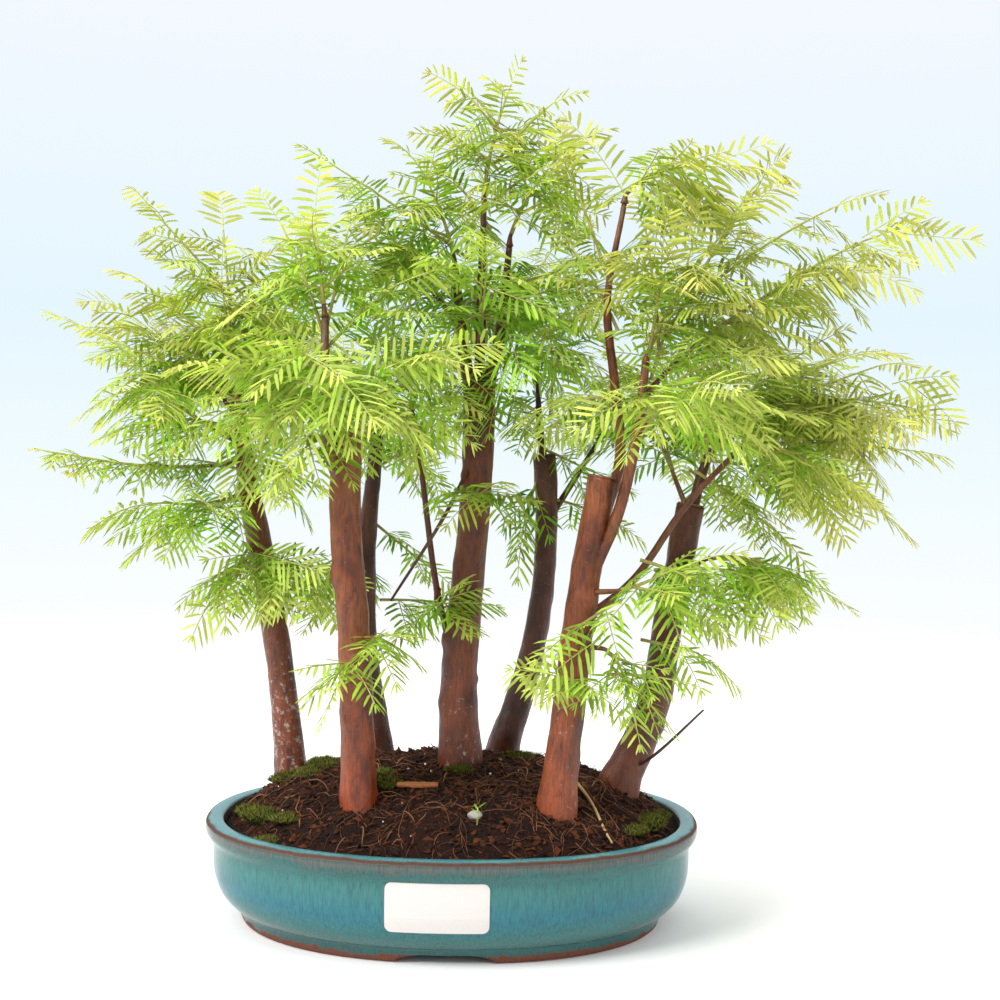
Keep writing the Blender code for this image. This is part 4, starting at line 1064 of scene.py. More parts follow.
def make_label():
    """The blank paper label, bent to the front wall, with round corners."""
    low, high = LABEL_ENDS
    rows = [low + LABEL_CORNER * (1 - math.cos(math.pi / 2 * k / 6)) for k in range(7)]
    rows += [low + LABEL_CORNER + (high - low - 2 * LABEL_CORNER) * k / 9 for k in range(1, 9)]
    rows += [high - LABEL_CORNER * (1 - math.cos(math.pi / 2 * k / 6)) for k in range(6, -1, -1)]
    columns = 34
    layers = []
    for depth in (-0.1, LABEL_THICK):
        for z in rows:
            into = max(0, LABEL_CORNER - min(z - low, high - z))
            inset = LABEL_CORNER - math.sqrt(max(0, LABEL_CORNER ** 2 - into ** 2))
            for k in range(columns + 1):
                x = LABEL_X + (LABEL_WIDTH - 2 * inset) * (k / columns - 0.5)
                layers.append((x, wall_y(x, z) - depth, z))
    wide, count = columns + 1, len(layers) // 2
    quads = []
    for row in range(len(rows) - 1):
        for column in range(columns):
            a = row * wide + column
            quads.append([a, a + 1, a + wide + 1, a + wide])
    quads = np.array(quads)
    edge = list(range(wide)) + [r * wide + columns for r in range(1, len(rows))]
    edge += [(len(rows) - 1) * wide + c for c in range(columns - 1, -1, -1)]
    edge += [r * wide for r in range(len(rows) - 2, 0, -1)]
    here, after = np.array(edge), np.roll(edge, -1)
    shape = Shape()
    shape.add(place(layers), [quads[:, ::-1], quads + count,
                              np.stack([here, after, after + count, here + count], -1)])
    return settle(shape.make("label_blank", [surface(label_paper)], False), "paper", "label")


def make_nets():
    """The two net squares over the drain holes."""
    pitch = (NET_SIDE - NET_BAR) / NET_HOLES
    marks = sorted([k * pitch for k in range(NET_HOLES + 1)]
                   + [k * pitch + NET_BAR for k in range(NET_HOLES + 1)])
    count = len(marks)
    for side, name in ((-1, "left"), (1, "right")):
        flat = bmesh.new()
        corners = [[flat.verts.new(place((side * DRAIN_OFFSET - NET_SIDE / 2 + x,
                                          y - NET_SIDE / 2, NET_LOW)))
                    for y in marks] for x in marks]
        for i in range(count - 1):
            for j in range(count - 1):
                if i % 2 == 0 or j % 2 == 0:
                    flat.faces.new([corners[i][j], corners[i + 1][j],
                                    corners[i + 1][j + 1], corners[i][j + 1]])
        bottom = list(flat.faces)
        raised = bmesh.ops.extrude_face_region(flat, geom=bottom, use_keep_orig=True)["geom"]
        tops = [v for v in raised if isinstance(v, bmesh.types.BMVert)]
        bmesh.ops.translate(flat, vec=(0, 0, NET_THICK * MM), verts=tops)
        bmesh.ops.recalc_face_normals(flat, faces=flat.faces)
        mesh = bpy.data.meshes.new("drain_net_" + name)
        flat.to_mesh(mesh)
        flat.free()
        mesh.materials.append(surface(moulded_net))
        net = bpy.data.objects.new(mesh.name, mesh)
        bpy.context.scene.collection.objects.link(net)
        settle(net, "plastic_mesh", "drain_screen_" + name)


# ---------------------------------------------------------------- soil


def mound_height(x, y, share):
    """The soil's height at a place that lies at a share of the way to its edge."""
    pot = settings().pot
    half_length = pot.rim_length / MM / 2 - SOIL_EDGE[0]
    half_width = pot.rim_width / MM / 2 - SOIL_EDGE[0] * WIDTH_INSET
    reach = half_width - MOUND_BACK if y > MOUND_BACK else half_width + MOUND_BACK
    away = math.hypot(x / half_length, (y - MOUND_BACK) / reach)
    rise = max(0, 1 - away ** MOUND_POWER) * MOUND_RISE
    fade = min(1, (1 - share) * LUMPS_FADE)
    point = Vector((x, y, 0)) * MM
    lumps = noise.noise(point * LUMPS_PER_METRE) * MOUND_LUMPS * fade
    lumps += (1.1 * ripple(point, 130, 3) + 0.6 * ripple(point, 330, 7)
              + 0.35 * ripple(point, 800, 9)) * (0.35 + 0.65 * fade)
    return SOIL_EDGE[1] + rise + lumps


def make_soil():
    """The root ball in the pot with its crumbly mound."""
    steps, rings = 360, 72
    edge = wall_ring(*SOIL_EDGE, steps)
    rows = [wall_ring(inset + SOIL_INSET, height + SOIL_INSET, steps)
            for inset, height in reversed(POT_INSIDE[2:])]
    rows.append(edge)
    for k in range(1, rings):
        share = 1 - k / rings
        row = edge * share
        row[:, 2] = [mound_height(x, y, share) for x, y in row[:, :2]]
        rows.append(row)
    rows = np.array(rows)
    count = len(rows) * steps
    middle = np.array([[0, 0, mound_height(0, 0, 0)], [0, 0, rows[0][0][2]]])
    shape = Shape()
    shape.add(place(np.vstack([rows.reshape(-1, 3), middle])),
              [grid_faces(len(rows), steps), fan(count - steps, steps, count, True),
               fan(0, steps, count + 1, False)])
    return settle(shape.make("soil_mound", [surface(damp_soil)]), "earth", "soil")


def ground():
    """The soil's surface, to lay things on."""
    mesh = bpy.data.objects["soil_mound"].data
    return BVHTree.FromPolygons([v.co.copy() for v in mesh.vertices],
                                [tuple(p.vertices) for p in mesh.polygons])


def top_of(tree, x, y):
    """The height of the soil in metres under a place in millimetres, or None."""
    hit = tree.ray_cast(Vector(place((x, y, 200))), Vector((0, 0, -1)))[0]
    return hit.z if hit else None


def on_soil(draw, spread=0.97):
    """A chance place on the soil, in millimetres."""
    half_length = POT_LENGTH_HALF - SOIL_EDGE[0]
    half_width = POT_WIDTH_HALF - SOIL_EDGE[0] * WIDTH_INSET
    reach, turn = math.sqrt(draw.random()) * spread, draw.uniform(0, 2 * math.pi)
    return half_length * reach * math.cos(turn), half_width * reach * math.sin(turn)


# A loose bit: six corners, one on each axis, and the faces between them
BIT_FACES = [np.array([[0, 2, 4], [2, 1, 4], [1, 3, 4], [3, 0, 4],
                       [2, 0, 5], [1, 2, 5], [3, 1, 5], [0, 3, 5]])]
BIT_POINTS = np.array([(1, 0, 0), (-1, 0, 0), (0, 1, 0),
                       (0, -1, 0), (0, 0, 1), (0, 0, -1)], float)


def make_crumbs():
    """Loose bits of bark and peat on the soil, and white grains of perlite."""
    draw = random.Random("crumbs")
    tree = ground()
    soil = settings().soil
    # crumbled peat and bark: matt, from nearly black to red-brown, broken and never shiny
    dark = surface(toned, "crumbled_peat", [c * 0.3 for c in soil.soil], soil.crumb_light,
                   0.9, 0.6, 0.3)
    shape, grains = Shape(), Shape()
    for k in range(soil.crumbs):
        x, y = on_soil(draw)
        size = draw.choice(CRUMB_SIZES) * draw.uniform(0.8, 1.3)
        long = draw.uniform(1, 2.2)
        flat = draw.uniform(0.45, 0.9)
        if k % 60 == 0:
            size, long, flat = draw.uniform(1.3, 2.0), draw.uniform(2, 3.6), 0.4
        spin = np.array(Euler([draw.uniform(-0.7, 0.7), draw.uniform(-0.7, 0.7),
                               draw.uniform(0, 6.3)]).to_matrix())
        jag = several(draw, 18, 0.7, 1.3).reshape(6, 3)
        skew = several(draw, 18, -0.3, 0.3).reshape(6, 3)
        bit = (BIT_POINTS * jag + skew) * (size * long, size, size * flat) @ spin.T
        height = top_of(tree, x, y)
        if height is None:
            continue
        middle = np.array(place((x, y, 0)))
        middle[2] = height + size * flat * 0.25 * MM
        tone = (draw.random() ** 2, 0, 0)
        shape.add(bit * MM + middle, BIT_FACES, 0, tone)
    for k in range(GRAINS):
        x, y = GRAIN_BY_RIM if k == 0 else on_soil(draw)
        height = top_of(tree, x, y)
        if height is None:
            continue
        size = 1.5 if k == 0 else draw.uniform(0.5, 1.0)
        middle = np.array(place((x, y, 0)))
        middle[2] = height + size * 0.4 * MM
        jag = several(draw, 18, 0.8, 1.2).reshape(6, 3)
        grains.add(BIT_POINTS * jag * size * MM + middle, BIT_FACES, 0, (draw.random(), 0, 0))
    settle(shape.make("soil_crumbs", [dark], False), "earth")
    # perlite blown up by heat: chalky white specks with a foamed, matt skin
    pale = surface(toned, "expanded_perlite", linear("#b9b0a2"), linear("#efeae0"), 0.9, 0.5, 0.2)
    settle(grains.make("perlite_grains", [pale]), "stone")


def make_fibres():
    """Fine dead roots that wander over the soil."""
    draw = random.Random("fibres")
    tree = ground()
    soil = settings().soil
    shape = Shape()
    for _ in range(soil.fibres):
        x, y = on_soil(draw, 0.94)
        turn = draw.uniform(0, 2 * math.pi)
        bend = draw.uniform(-0.2, 0.2)
        steps = draw.randint(4, 13) if draw.random() < 0.8 else draw.randint(14, 22)
        rise = draw.uniform(1, 4.5) if draw.random() < 0.4 else draw.uniform(0, 0.9)
        line = []
        for step in range(steps):
            height = top_of(tree, x, y)
            if height is None:
                break
            lift = rise * math.sin(math.pi * step / (steps - 1))
            line.append((x, y, height / MM + 0.1 + lift))
            bend = bend * 0.6 + draw.uniform(-0.34, 0.34)
            turn += bend
            x, y = x + FIBRE_STEP * math.cos(turn), y + FIBRE_STEP * math.sin(turn)
        if len(line) < 3:
            continue
        thick = draw.choice(FIBRE_RADII)
        radii = np.linspace(thick, thick * 0.5, len(line)) * MM
        tube(shape, place(line), radii, 3, 0, (draw.random() ** 1.4, 0, 0))
    # dried fine roots: thin matt threads, dark or straw-brown from one to the next
    root = surface(toned, "dead_root_fibre", linear("#34190f"), soil.fibre, 0.8, 0.5, 0.1)
    settle(shape.make("root_fibres", [root]), "dry_wood")


def moss_clump(name, centre, half, blades, tree, draw):
    """A moss cushion: a low lump bristling with short blades."""
    x0, y0 = centre
    shape = Shape()
    ball = bmesh.new()
    bmesh.ops.create_icosphere(ball, subdivisions=4, radius=1)
    level = top_of(tree, x0, y0) / MM
    points = []
    for vert in ball.verts:
        bump = 0.86 + 0.22 * noise.noise(vert.co * 2.3 + Vector((x0, y0, 0)))
        bump += 0.1 * noise.noise(vert.co * 7)
        points.append((x0 + vert.co.x * half[0] * bump, y0 + vert.co.y * half[1] * bump,
                       level + vert.co.z * half[2] * bump))
    points = np.array(points)
    faces = np.array([[v.index for v in f.verts] for f in ball.faces])
    ball.free()
    # the cushion under the blades gets a low value and comes out dark: partly the moss's darker
    # base, partly painted shade between the blades
    shape.add(place(points), [faces], 0, (0.2, 0, 0))
    upper = [p for p in points if p[2] > level - 0.5]
    for _ in range(blades):
        root = np.array(upper[draw.randrange(len(upper))])
        root += [draw.uniform(-0.8, 0.8), draw.uniform(-0.8, 0.8), -0.3]
        out = unit((root - (x0, y0, level - half[2])) / half)
        way = unit(out + SKY * 0.5 + several(draw, 3, -0.5, 0.5))
        tall = draw.uniform(*MOSS_BLADE_LENGTH)
        side = unit(np.cross(way, (draw.uniform(-1, 1), draw.uniform(-1, 1), 0.3)))
        other = np.cross(way, side)
        wide = MOSS_BLADE_WIDTH
        ring = [root + side * wide, root - side * wide / 2 + other * wide,
                root - side * wide / 2 - other * wide, root + way * tall]
        shape.add(place(ring), [np.array([[0, 1, 3], [1, 2, 3], [2, 0, 3], [0, 2, 1]])], 0,
                  (draw.uniform(0.1, 1) ** 2, 0, 0))
    # living moss: soft and matt, olive at the tips and nearly black between the blades, partly its
    # darker base and partly painted shade
    soil = settings().soil
    green = surface(toned, "growing_moss", shaded(soil.moss, 0.14),
                    shaded(soil.moss, 1.9), 0.95, 1.5, 0.4)
    return shape.make(name + "_cushion", [green])


def make_moss():
    """The moss cushions, and thinner moss round the trunks and along the rim."""
    draw = random.Random("moss")
    tree = ground()
    for name, (centre, half) in MOSS.items():
        settle(moss_clump(name, centre, half, MOSS_BLADES, tree, draw), "moss", name)
    for k, (centre, half) in enumerate(THIN_MOSS):
        name = "moss_thin_%d" % (k + 1)
        settle(moss_clump(name, centre, half, THIN_MOSS_BLADES, tree, draw), "moss")


def make_loose_things():
    """The pale pebble, the splintered wood chip, the straw and a tiny seedling."""
    tree = ground()
    x0, y0 = PEBBLE_AT
    level = top_of(tree, x0, y0) / MM + 1.2
    ball = bmesh.new()
    bmesh.ops.create_icosphere(ball, subdivisions=4, radius=1)
    points = []
    for vert in ball.verts:
        bump = 0.9 + 0.14 * noise.noise(vert.co * 1.4) + 0.03 * noise.noise(vert.co * 6)
        points.append(np.array(vert.co) * bump * PEBBLE_SIZE + (x0, y0, level))
    faces = np.array([[v.index for v in f.verts] for f in ball.faces])
    ball.free()
    shape = Shape()
    shape.add(place(points), [faces], 0, (0.6, 0, 0))
    # a pebble worn by water: smooth pale grey, with faint dull mottles
    stone = surface(toned, "worn_pebble", linear("#67635d"), linear("#a8a39a"), 0.75, 1.4, 0.15)
    settle(shape.make("pale_pebble", [stone]), "stone", "pebble")

    x0, y0 = CHIP_AT
    long, wide, thick = CHIP_SIZE
    shape = Shape()
    draw = random.Random("chip")
    rows = []
    for k in range(15):
        share = k / 14
        x = x0 + long * (share - 0.5)
        half = wide / 2 * math.sin(math.pi * (0.12 + 0.76 * share)) ** 0.6
        row = []
        for j in range(12):
            turn = 2 * math.pi * j / 12
            jag = draw.uniform(0.82, 1.0)
            y = y0 + half * math.cos(turn) * jag
            z = thick / 2 * math.copysign(abs(math.sin(turn)) ** 0.6, math.sin(turn)) * jag
            row.append((x + draw.uniform(-0.4, 0.4), y, z))
        rows.append(row)
    rows = np.array(rows)
    rows[..., 2] += top_of(tree, x0, y0) / MM + 1.3
    here = np.arange(12)
    shape.add(place(rows.reshape(-1, 3)), [grid_faces(15, 12), here[::-1][None],
                                           (14 * 12 + here)[None]], 0, (0.6, 0, 0))
    # split bark wood: orange-brown, fibrous and dull
    wood = surface(toned, "split_wood", linear("#5c3019"), linear("#a3643c"), 0.75, 0.9, 0.35)
    settle(shape.make("split_chip", [wood], False), "dry_wood", "wood_chip")

    (x1, y1), (x2, y2) = STRAW_ENDS
    line = []
    for k in range(17):
        share = k / 16
        x, y = x1 + (x2 - x1) * share, y1 + (y2 - y1) * share
        line.append((x + 1.2 * math.sin(share * 5), y, 0))
    high = max(top_of(tree, x, y) / MM - (top_of(tree, x1, y1) / MM) * (1 - k / 16)
               - (top_of(tree, x2, y2) / MM) * (k / 16) for k, (x, y, _) in enumerate(line))
    line = [(x, y, (top_of(tree, x1, y1) * (1 - k / 16) + top_of(tree, x2, y2) * k / 16) / MM
             + high + STRAW_RADIUS + 0.2) for k, (x, y, _) in enumerate(line)]
    shape = Shape()
    tube(shape, place(line), np.linspace(0.9, 0.6, 17) * MM, 12, 0, (0.8, 0, 0))
    # a dead grass stalk: pale tan with the slight shine of a smooth stem
    straw = surface(toned, "dry_straw", linear("#7c5a38"), linear("#bd986a"), 0.6, 1.2, 0.1)
    settle(shape.make("dry_stalk", [straw]), "dry_wood", "straw")

    shape = Shape()
    x0, y0 = SEEDLING_AT
    foot = top_of(tree, x0, y0) / MM
    tube(shape, place([(x0, y0, foot - 1), (x0 + 0.4, y0, foot + 5), (x0 + 0.2, y0, foot + 9)]),
         np.array([0.45, 0.4, 0.35]) * MM, 6, 1, (1, 0, 0))
    for k in range(4):
        turn = k * math.pi / 2 + 0.4
        way = np.array([math.cos(turn) * 0.8, math.sin(turn) * 0.8, 0.6])
        leaflets(shape, place([(x0 + 0.2, y0, foot + 8.6 - k * 0.8)]), unit(way)[None],
                 SKY[None], np.array([6.5 - k]) * MM, 1.5 * MM, np.array([[0.5, 0, 0.6]]))
    settle(shape.make("seedling", [surface(living_leaf), surface(green_twig)]), "leaf")


# ---------------------------------------------------------------- trunks


def distances(line):
    """How far along a line each of its points lies."""
    return np.concatenate([[0], np.cumsum(np.linalg.norm(np.diff(line, axis=0), axis=1))])


def row_at(rows, along, here):
    """The row of a table at a distance along its line."""
    return np.array([np.interp(here, along, rows[:, k]) for k in range(3)])


def bent(start, middle, tip, steps):
    """A curve of so many points from start to tip, drawn towards middle."""
    t = np.linspace(0, 1, steps)[:, None]
    return (start * (1 - t) + middle * t) * (1 - t) + (middle * (1 - t) + tip * t) * t


def wood_line(name):
    """Where a shoot's wood leaves its stem, its heading, and the shoot's own curve in mm."""
    stem, share, start, tip, _, _ = SHOOTS[name]
    points = np.array(STEMS[stem][1], float)
    along = distances(points)
    root = row_at(points, along, share * along[-1])
    start, tip = np.array(start, float), np.array(tip, float)
    lean = unit(unit(start - root) + unit(tip - start))
    middle = start + lean * np.linalg.norm(tip - start) / 2
    curve = bent(start, middle, tip, CURVE_STEPS + 1)
    return root, unit(curve[1] - curve[0]), curve


def bark_value(name, heights, radius):
    """Olive, redness, lichen and lightness along a stem of a trunk."""
    red, olive, lichen, light = BARK_STATE[STEMS[name][0]]
    low = np.clip((140 - heights) / 70, 0, 1)
    crusted = np.clip((210 - heights) / 90, 0, 1)
    thin = np.clip((5 - radius) / 4, 0, 1)
    return np.stack([np.clip(olive * np.clip((heights - 130) / 90, 0, 1) + 0.4 * thin, 0, 1),
                     red * low * (1 - thin), lichen * crusted,
                     light * (1 - 0.35 * thin)], -1)


def bark_tube(shape, name, line, sizes, factor):
    """A stem of a trunk, its rings shaped by the factor."""
    sides = factor.shape[1]
    value = np.repeat(bark_value(name, line[:, 2], sizes)[:, None], sides, 1)
    value = np.vstack([value.reshape(-1, 4), value[:1, 0], value[-1:, 0]])
    tube(shape, place(line), sizes * MM, sides, 0, value, factor)


def main_trunk(shape, name):
    """One trunk: flared foot, fibres in relief, knots, and a sawn or growing top."""
    _, points, radii = STEMS[name]
    points = [(points[0][0], points[0][1], TRUNK_FOOT)] + list(points)
    line, sizes = smooth_line(points, [radii[0]] + list(radii), 1.9)
    relief = settings().bark.relief / MM
    sides = TRUNK_SIDES
    turn = turns(sides)
    seed = float(name[-1])
    ahead, across, other = frames(line)
    factor = np.ones((len(line), sides))
    for k, (point, size) in enumerate(zip(line, sizes)):
        flare = FOOT_FLARE * math.exp(-max(0, point[2] - FLARE_TOP) / FLARE_REACH)
        for j, angle in enumerate(turn):
            spoke = across[k] * math.cos(angle) + other[k] * math.sin(angle)
            spot = point + spoke * size
            tall = Vector((spot[0], spot[1], spot[2] * 0.16))
            ridges = noise.noise(tall * 0.42 + Vector((seed, 0, 0)))
            ridges += 0.5 * noise.noise(tall * 1.1 + Vector((0, seed, 0)))
            lumps = noise.noise(Vector(spot) * 0.07 + Vector((0, 0, seed)))
            rough = relief * (ridges + 0.25 * noise.noise(Vector(spot) * 0.9))
            lobes = 1 + 0.7 * math.sin(3 * angle + seed) + 0.4 * math.sin(5 * angle + 2 * seed)
            factor[k, j] = 1 + flare * lobes + (rough + 0.55 * lumps) / size
    for owner, height, way, out, wide in KNOTS:
        if owner != name:
            continue
        angle = math.radians(way)
        facing = np.array([math.sin(angle), -math.cos(angle), 0])
        off_side = 1 - spokes(across, other, sides) @ facing
        off_up = (line[:, 2] - height)[:, None]
        gap = np.sqrt((off_up / wide) ** 2 + off_side * 2 * (sizes[:, None] / wide) ** 2)
        swell = out * np.exp(-gap ** 2 * 1.6) - out * 0.5 * np.exp(-gap ** 2 * 14)
        factor += swell / sizes[:, None]
    bark_tube(shape, name, line, sizes, factor)
    if radii[-1] > 5:
        top = line[-1]
        ring = spokes(across[-1:], other[-1:], sides)[0]
        rows = []
        for share, lift in ((0.96, -1.2), (0.93, 0.5), (0.86, 0.9), (0.78, 0.55), (0.5, 0.7),
                            (0.22, 0.45)):
            wave = factor[-1] * sizes[-1] * share
            jag = np.array([0.25 * noise.noise(Vector((math.cos(a) * 3, math.sin(a) * 3, lift)))
                            for a in turn])
            rows.append(top + ring * wave[:, None] + ahead[-1][None] * (lift + jag)[:, None])
        rows = np.array(rows)
        count = len(rows) * sides
        core = np.array([top + ahead[-1] * 0.5, top - ahead[-1] * 1.2])
        shape.add(place(np.vstack([rows.reshape(-1, 3), core])),
                  [grid_faces(len(rows), sides), fan(count - sides, sides, count, True),
                   fan(0, sides, count + 1, False)], 1)


def side_stem(shape, name):
    """A stem that grows from a trunk, with long ridges in its bark."""
    _, points, radii = STEMS[name]
    line, sizes = smooth_line(points, np.array(radii) * STEM_SLIM, STEM_STEP)
    sides = 20 if max(radii) > 3 else 12
    turn = turns(sides)
    seed = len(name) * 1.3 + radii[0]
    ridge = 0.1 if max(radii) > 3 else 0.06
    factor = np.ones((len(line), sides))
    for k in range(len(line)):
        collar = STEM_COLLAR * math.exp(-k * STEM_STEP / 4)
        for j, angle in enumerate(turn):
            spot = Vector((math.cos(angle) * 1.4, math.sin(angle) * 1.4, k * 0.06 + seed))
            fine = Vector((math.cos(angle) * 4, math.sin(angle) * 4, k * 0.25 + seed))
            factor[k, j] = 1 + collar + ridge * 1.6 * noise.noise(spot) \
                + ridge * noise.noise(fine)
    bark_tube(shape, name, line, sizes, factor)


def make_trunks():
    """Each trunk with its stems and the wood out to its shoots."""
    for name in [key for key in STEMS if key.startswith("trunk")]:
        shape = Shape()
        main_trunk(shape, name)
        for stem, (owner, _, _) in STEMS.items():
            if owner == name and stem != name:
                side_stem(shape, stem)
        for shoot, (stem, _, start, _, _, _) in SHOOTS.items():
            if STEMS[stem][0] == name:
                root, heading, _ = wood_line(shoot)
                start = np.array(start, float)
                span = np.linalg.norm(start - root)
                knee = start - heading * min(4, span / 3)
                line, sizes = smooth_line([root, knee, start + heading],
                                          [WOOD_ROOT_RADIUS, WOOD_TIP_RADIUS,
                                           WOOD_TIP_RADIUS * 0.9], 2)
                sizes = sizes * (1 + 0.35 * np.exp(-np.arange(len(line)) * 1.2))
                tube(shape, place(line), sizes * MM, 8, 0, (0.6, 0.1, 0, 0.8))
        piece = shape.make(name + "_bark", [surface(grown_bark), surface(sawn_wood)])
        settle(piece, "bark", name)


# ---------------------------------------------------------------- foliage

# A leaflet: how wide it is along its length, how deep its keel, and the faces between its
# eight points: the foot, two rings of three and the tip
BLADE_AT = np.array([0.0, 0.25, 0.78, 1.0])
BLADE_WIDE = np.array([0.0, 1.0, 0.85, 0.0])
BLADE_KEEL = 0.28 * MM
BLADE_POINTS = 8
BLADE_TRIS = np.array([[0, 2, 1], [0, 3, 2], [0, 1, 3], [4, 5, 7], [5, 6, 7], [6, 4, 7]])
BLADE_QUADS = np.array([[1, 2, 5, 4], [2, 3, 6, 5], [3, 1, 4, 6]])


def leaflets(shape, roots, ways, ups, reach, width, values, droop=LEAFLET_DROOP):
    """Flat narrow leaflets, each a closed blade with a keel and a blunt tip."""
    count = len(roots)
    side = unit(np.cross(ways, ups))
    normal = unit(np.cross(side, ways))
    points = np.empty((count, BLADE_POINTS, 3))
    at = 0
    for share, wide in zip(BLADE_AT, BLADE_WIDE):
        middle = roots + ways * (reach * share)[:, None]
        middle[:, 2] -= droop * reach * share ** 2
        if wide == 0:
            points[:, at] = middle
            at += 1
        else:
            half = side * np.reshape(width * wide / 2, (-1, 1))
            points[:, at] = middle - half
            points[:, at + 1] = middle + half
            points[:, at + 2] = middle - normal * BLADE_KEEL
            at += 3
    start = (np.arange(count) * BLADE_POINTS)[:, None, None]
    shape.add(points, [(start + BLADE_TRIS[None]).reshape(-1, 3),
                       (start + BLADE_QUADS[None]).reshape(-1, 4)], 0,
              np.repeat(values, BLADE_POINTS, 0))


def frond(shape, base, along, up, length, draw, age_and_shade, blush, droop=None, spacing=1.0):
    """A frond: a drooping rib with leaflets in opposite pairs. Lengths in metres."""
    leaf = settings().leaf
    droop = draw.uniform(0.05, 0.35) if droop is None else droop
    side = unit(np.cross(along, up))
    up = np.cross(side, along)
    curl = draw.uniform(-0.16, 0.16)
    pairs = max(4, int(round(length * 0.92 / (leaf.leaflet_gap * spacing))))
    share = np.linspace(0.09, 0.97, pairs)

    def rib(at):
        at = np.asarray(at)[:, None]
        return (base + along * length * at + side * length * curl * at ** 2
                - SKY * droop * length * at ** 2)

    middles = rib(share)
    heading = unit(rib(share + 0.02) - middles)
    longest = min(leaf.leaflet_length * (0.34 + 0.66 * length / (50 * MM)), 22 * MM)
    taper = np.interp(share, [0, 0.25, 0.55, 0.8, 1], [0.8, 1, 0.97, 0.76, 0.46])
    for turn in (1, -1):
        reach = longest * taper * several(draw, pairs, 0.82, 1.1)
        sweep = LEAFLET_SWEEP + 0.6 * share ** 3 + several(draw, pairs, -0.14, 0.14)
        rise = several(draw, pairs, -0.1, 0.24)
        ways = unit(side * turn * LEAFLET_SPREAD + heading * sweep[:, None]
                    + up * rise[:, None])
        ups = up + side * several(draw, pairs, -0.45, 0.45)[:, None]
        roots = middles + heading * (draw.uniform(-0.5, 0.5) * MM)
        values = np.stack([np.clip(age_and_shade + 0.3 * share - 0.12, 0, 1),
                           np.clip(blush * (0.3 + 0.7 * share), 0, 1),
                           several(draw, pairs, 0, 1)], -1)
        width = leaf.leaflet_width * np.clip(reach / (13 * MM), 0.6, 1.05)
        leaflets(shape, roots, ways, ups, reach, width, values, draw.uniform(0.1, 0.5))
    line = rib(np.linspace(-0.02, 1.0, 5))
    tube(shape, line, np.linspace(0.5, 0.24, 5) * MM, 3, 1, (0.75 + 0.25 * age_and_shade, 0, 0))
    tips = np.stack([heading[-1] + side * 0.3, heading[-1] - side * 0.3])
    leaflets(shape, np.repeat(line[-1:], 2, 0), unit(tips), np.repeat(up[None], 2, 0),
             longest * np.array([0.36, 0.3]), leaf.leaflet_width * 0.6,
             np.repeat([[min(1, age_and_shade + 0.2), blush, 0.6]], 2, 0))


def inside_box(point):
    """Whether a point lies well inside the solid model's box."""
    low, high = CAD_BOX
    return all(low[k] + BOX_ROOM < point[k] < high[k] - BOX_ROOM for k in range(3))


def arc(base, heading, reach, draw, steps=9):
    """A gently bent and drooping line in mm."""
    t = np.linspace(0, 1, steps)[:, None]
    side = unit(np.cross(heading, SKY) + 1e-6)
    return (base + heading * reach * t + side * reach * draw.uniform(-0.2, 0.2) * t ** 2
            - SKY * reach * draw.uniform(0.0, 0.22) * t ** 2)


def level_side(way, pair, draw):
    """The direction across a shoot, level where it can be."""
    across = np.cross(way, SKY)
    if np.linalg.norm(across) < 0.5:
        turn = math.pi / 2 * pair + draw.uniform(-0.4, 0.4)
        across = np.array([math.cos(turn), math.sin(turn), 0])
        across = across - way * np.dot(across, way)
    return unit(across)


def spray(shape, curve, length, draw, age_and_shade, blush, bare=0.0, tight=9.0, thick=1.3):
    """A shoot: its green stem along a curve in mm, with fronds in pairs and one at the tip."""
    along = distances(curve)
    total = along[-1]
    pairs = max(1, int(round(total * (1 - bare) / tight)))
    ahead = unit(np.gradient(curve, axis=0))
    sides = 6
    tube(shape, place(curve), np.linspace(thick, 0.5, len(curve)) * MM, sides, 1,
         np.stack([np.concatenate([np.repeat(np.linspace(0.4, 1, len(curve)), sides),
                                   [0.15, 1]])] * 3, -1))

    def at(share):
        here = share * total
        return row_at(curve, along, here), unit(row_at(ahead, along, here))

    # young is the frond's age, which also carries the painted shade of the crown's heart
    def one(base, heading, up, size, young):
        way = unit(heading + several(draw, 3, -0.2, 0.2))
        roll = draw.uniform(-FROND_ROLL, FROND_ROLL)
        facing = up + np.cross(way, up) * math.tan(roll)
        size = size * MM
        foot = place(base)
        for _ in range(6):
            if inside_box(foot + way * size * 1.15 - SKY * size * FROND_DROOP):
                break
            size *= 0.85
        tip = (foot + way * size - place((0, 0, 0))) / MM
        if any(np.linalg.norm(tip - middle) < room for middle, room in CLEAR_SPOTS):
            return
        frond(shape, foot, way, facing, size, draw, young, blush * young)

    last, way = at(1.0)
    up = unit(np.cross(level_side(way, 0, draw), way))
    one(last, way, up, length * draw.uniform(0.85, 1.05), min(1, age_and_shade + 0.3))
    for pair in range(pairs):
        share = bare + (0.96 - bare) * (pair + 0.5) / pairs
        base, way = at(share)
        across = level_side(way, pair, draw)
        across = unit(across + np.cross(way, across) * draw.uniform(-0.5, 0.5))
        size = length * (0.5 + 0.55 * math.sin(math.pi * min(1, 0.22 + 0.72 * share)))
        for side in (-1, 1):
            heading = unit(way * FROND_FORWARD + across * side * FROND_OUTWARD
                           - SKY * draw.uniform(-0.15, 0.7))
            one(base, heading, SKY, size * draw.uniform(0.8, 1.12),
                min(1, age_and_shade * 0.7 + 0.42 * share + draw.uniform(-0.12, 0.12)))


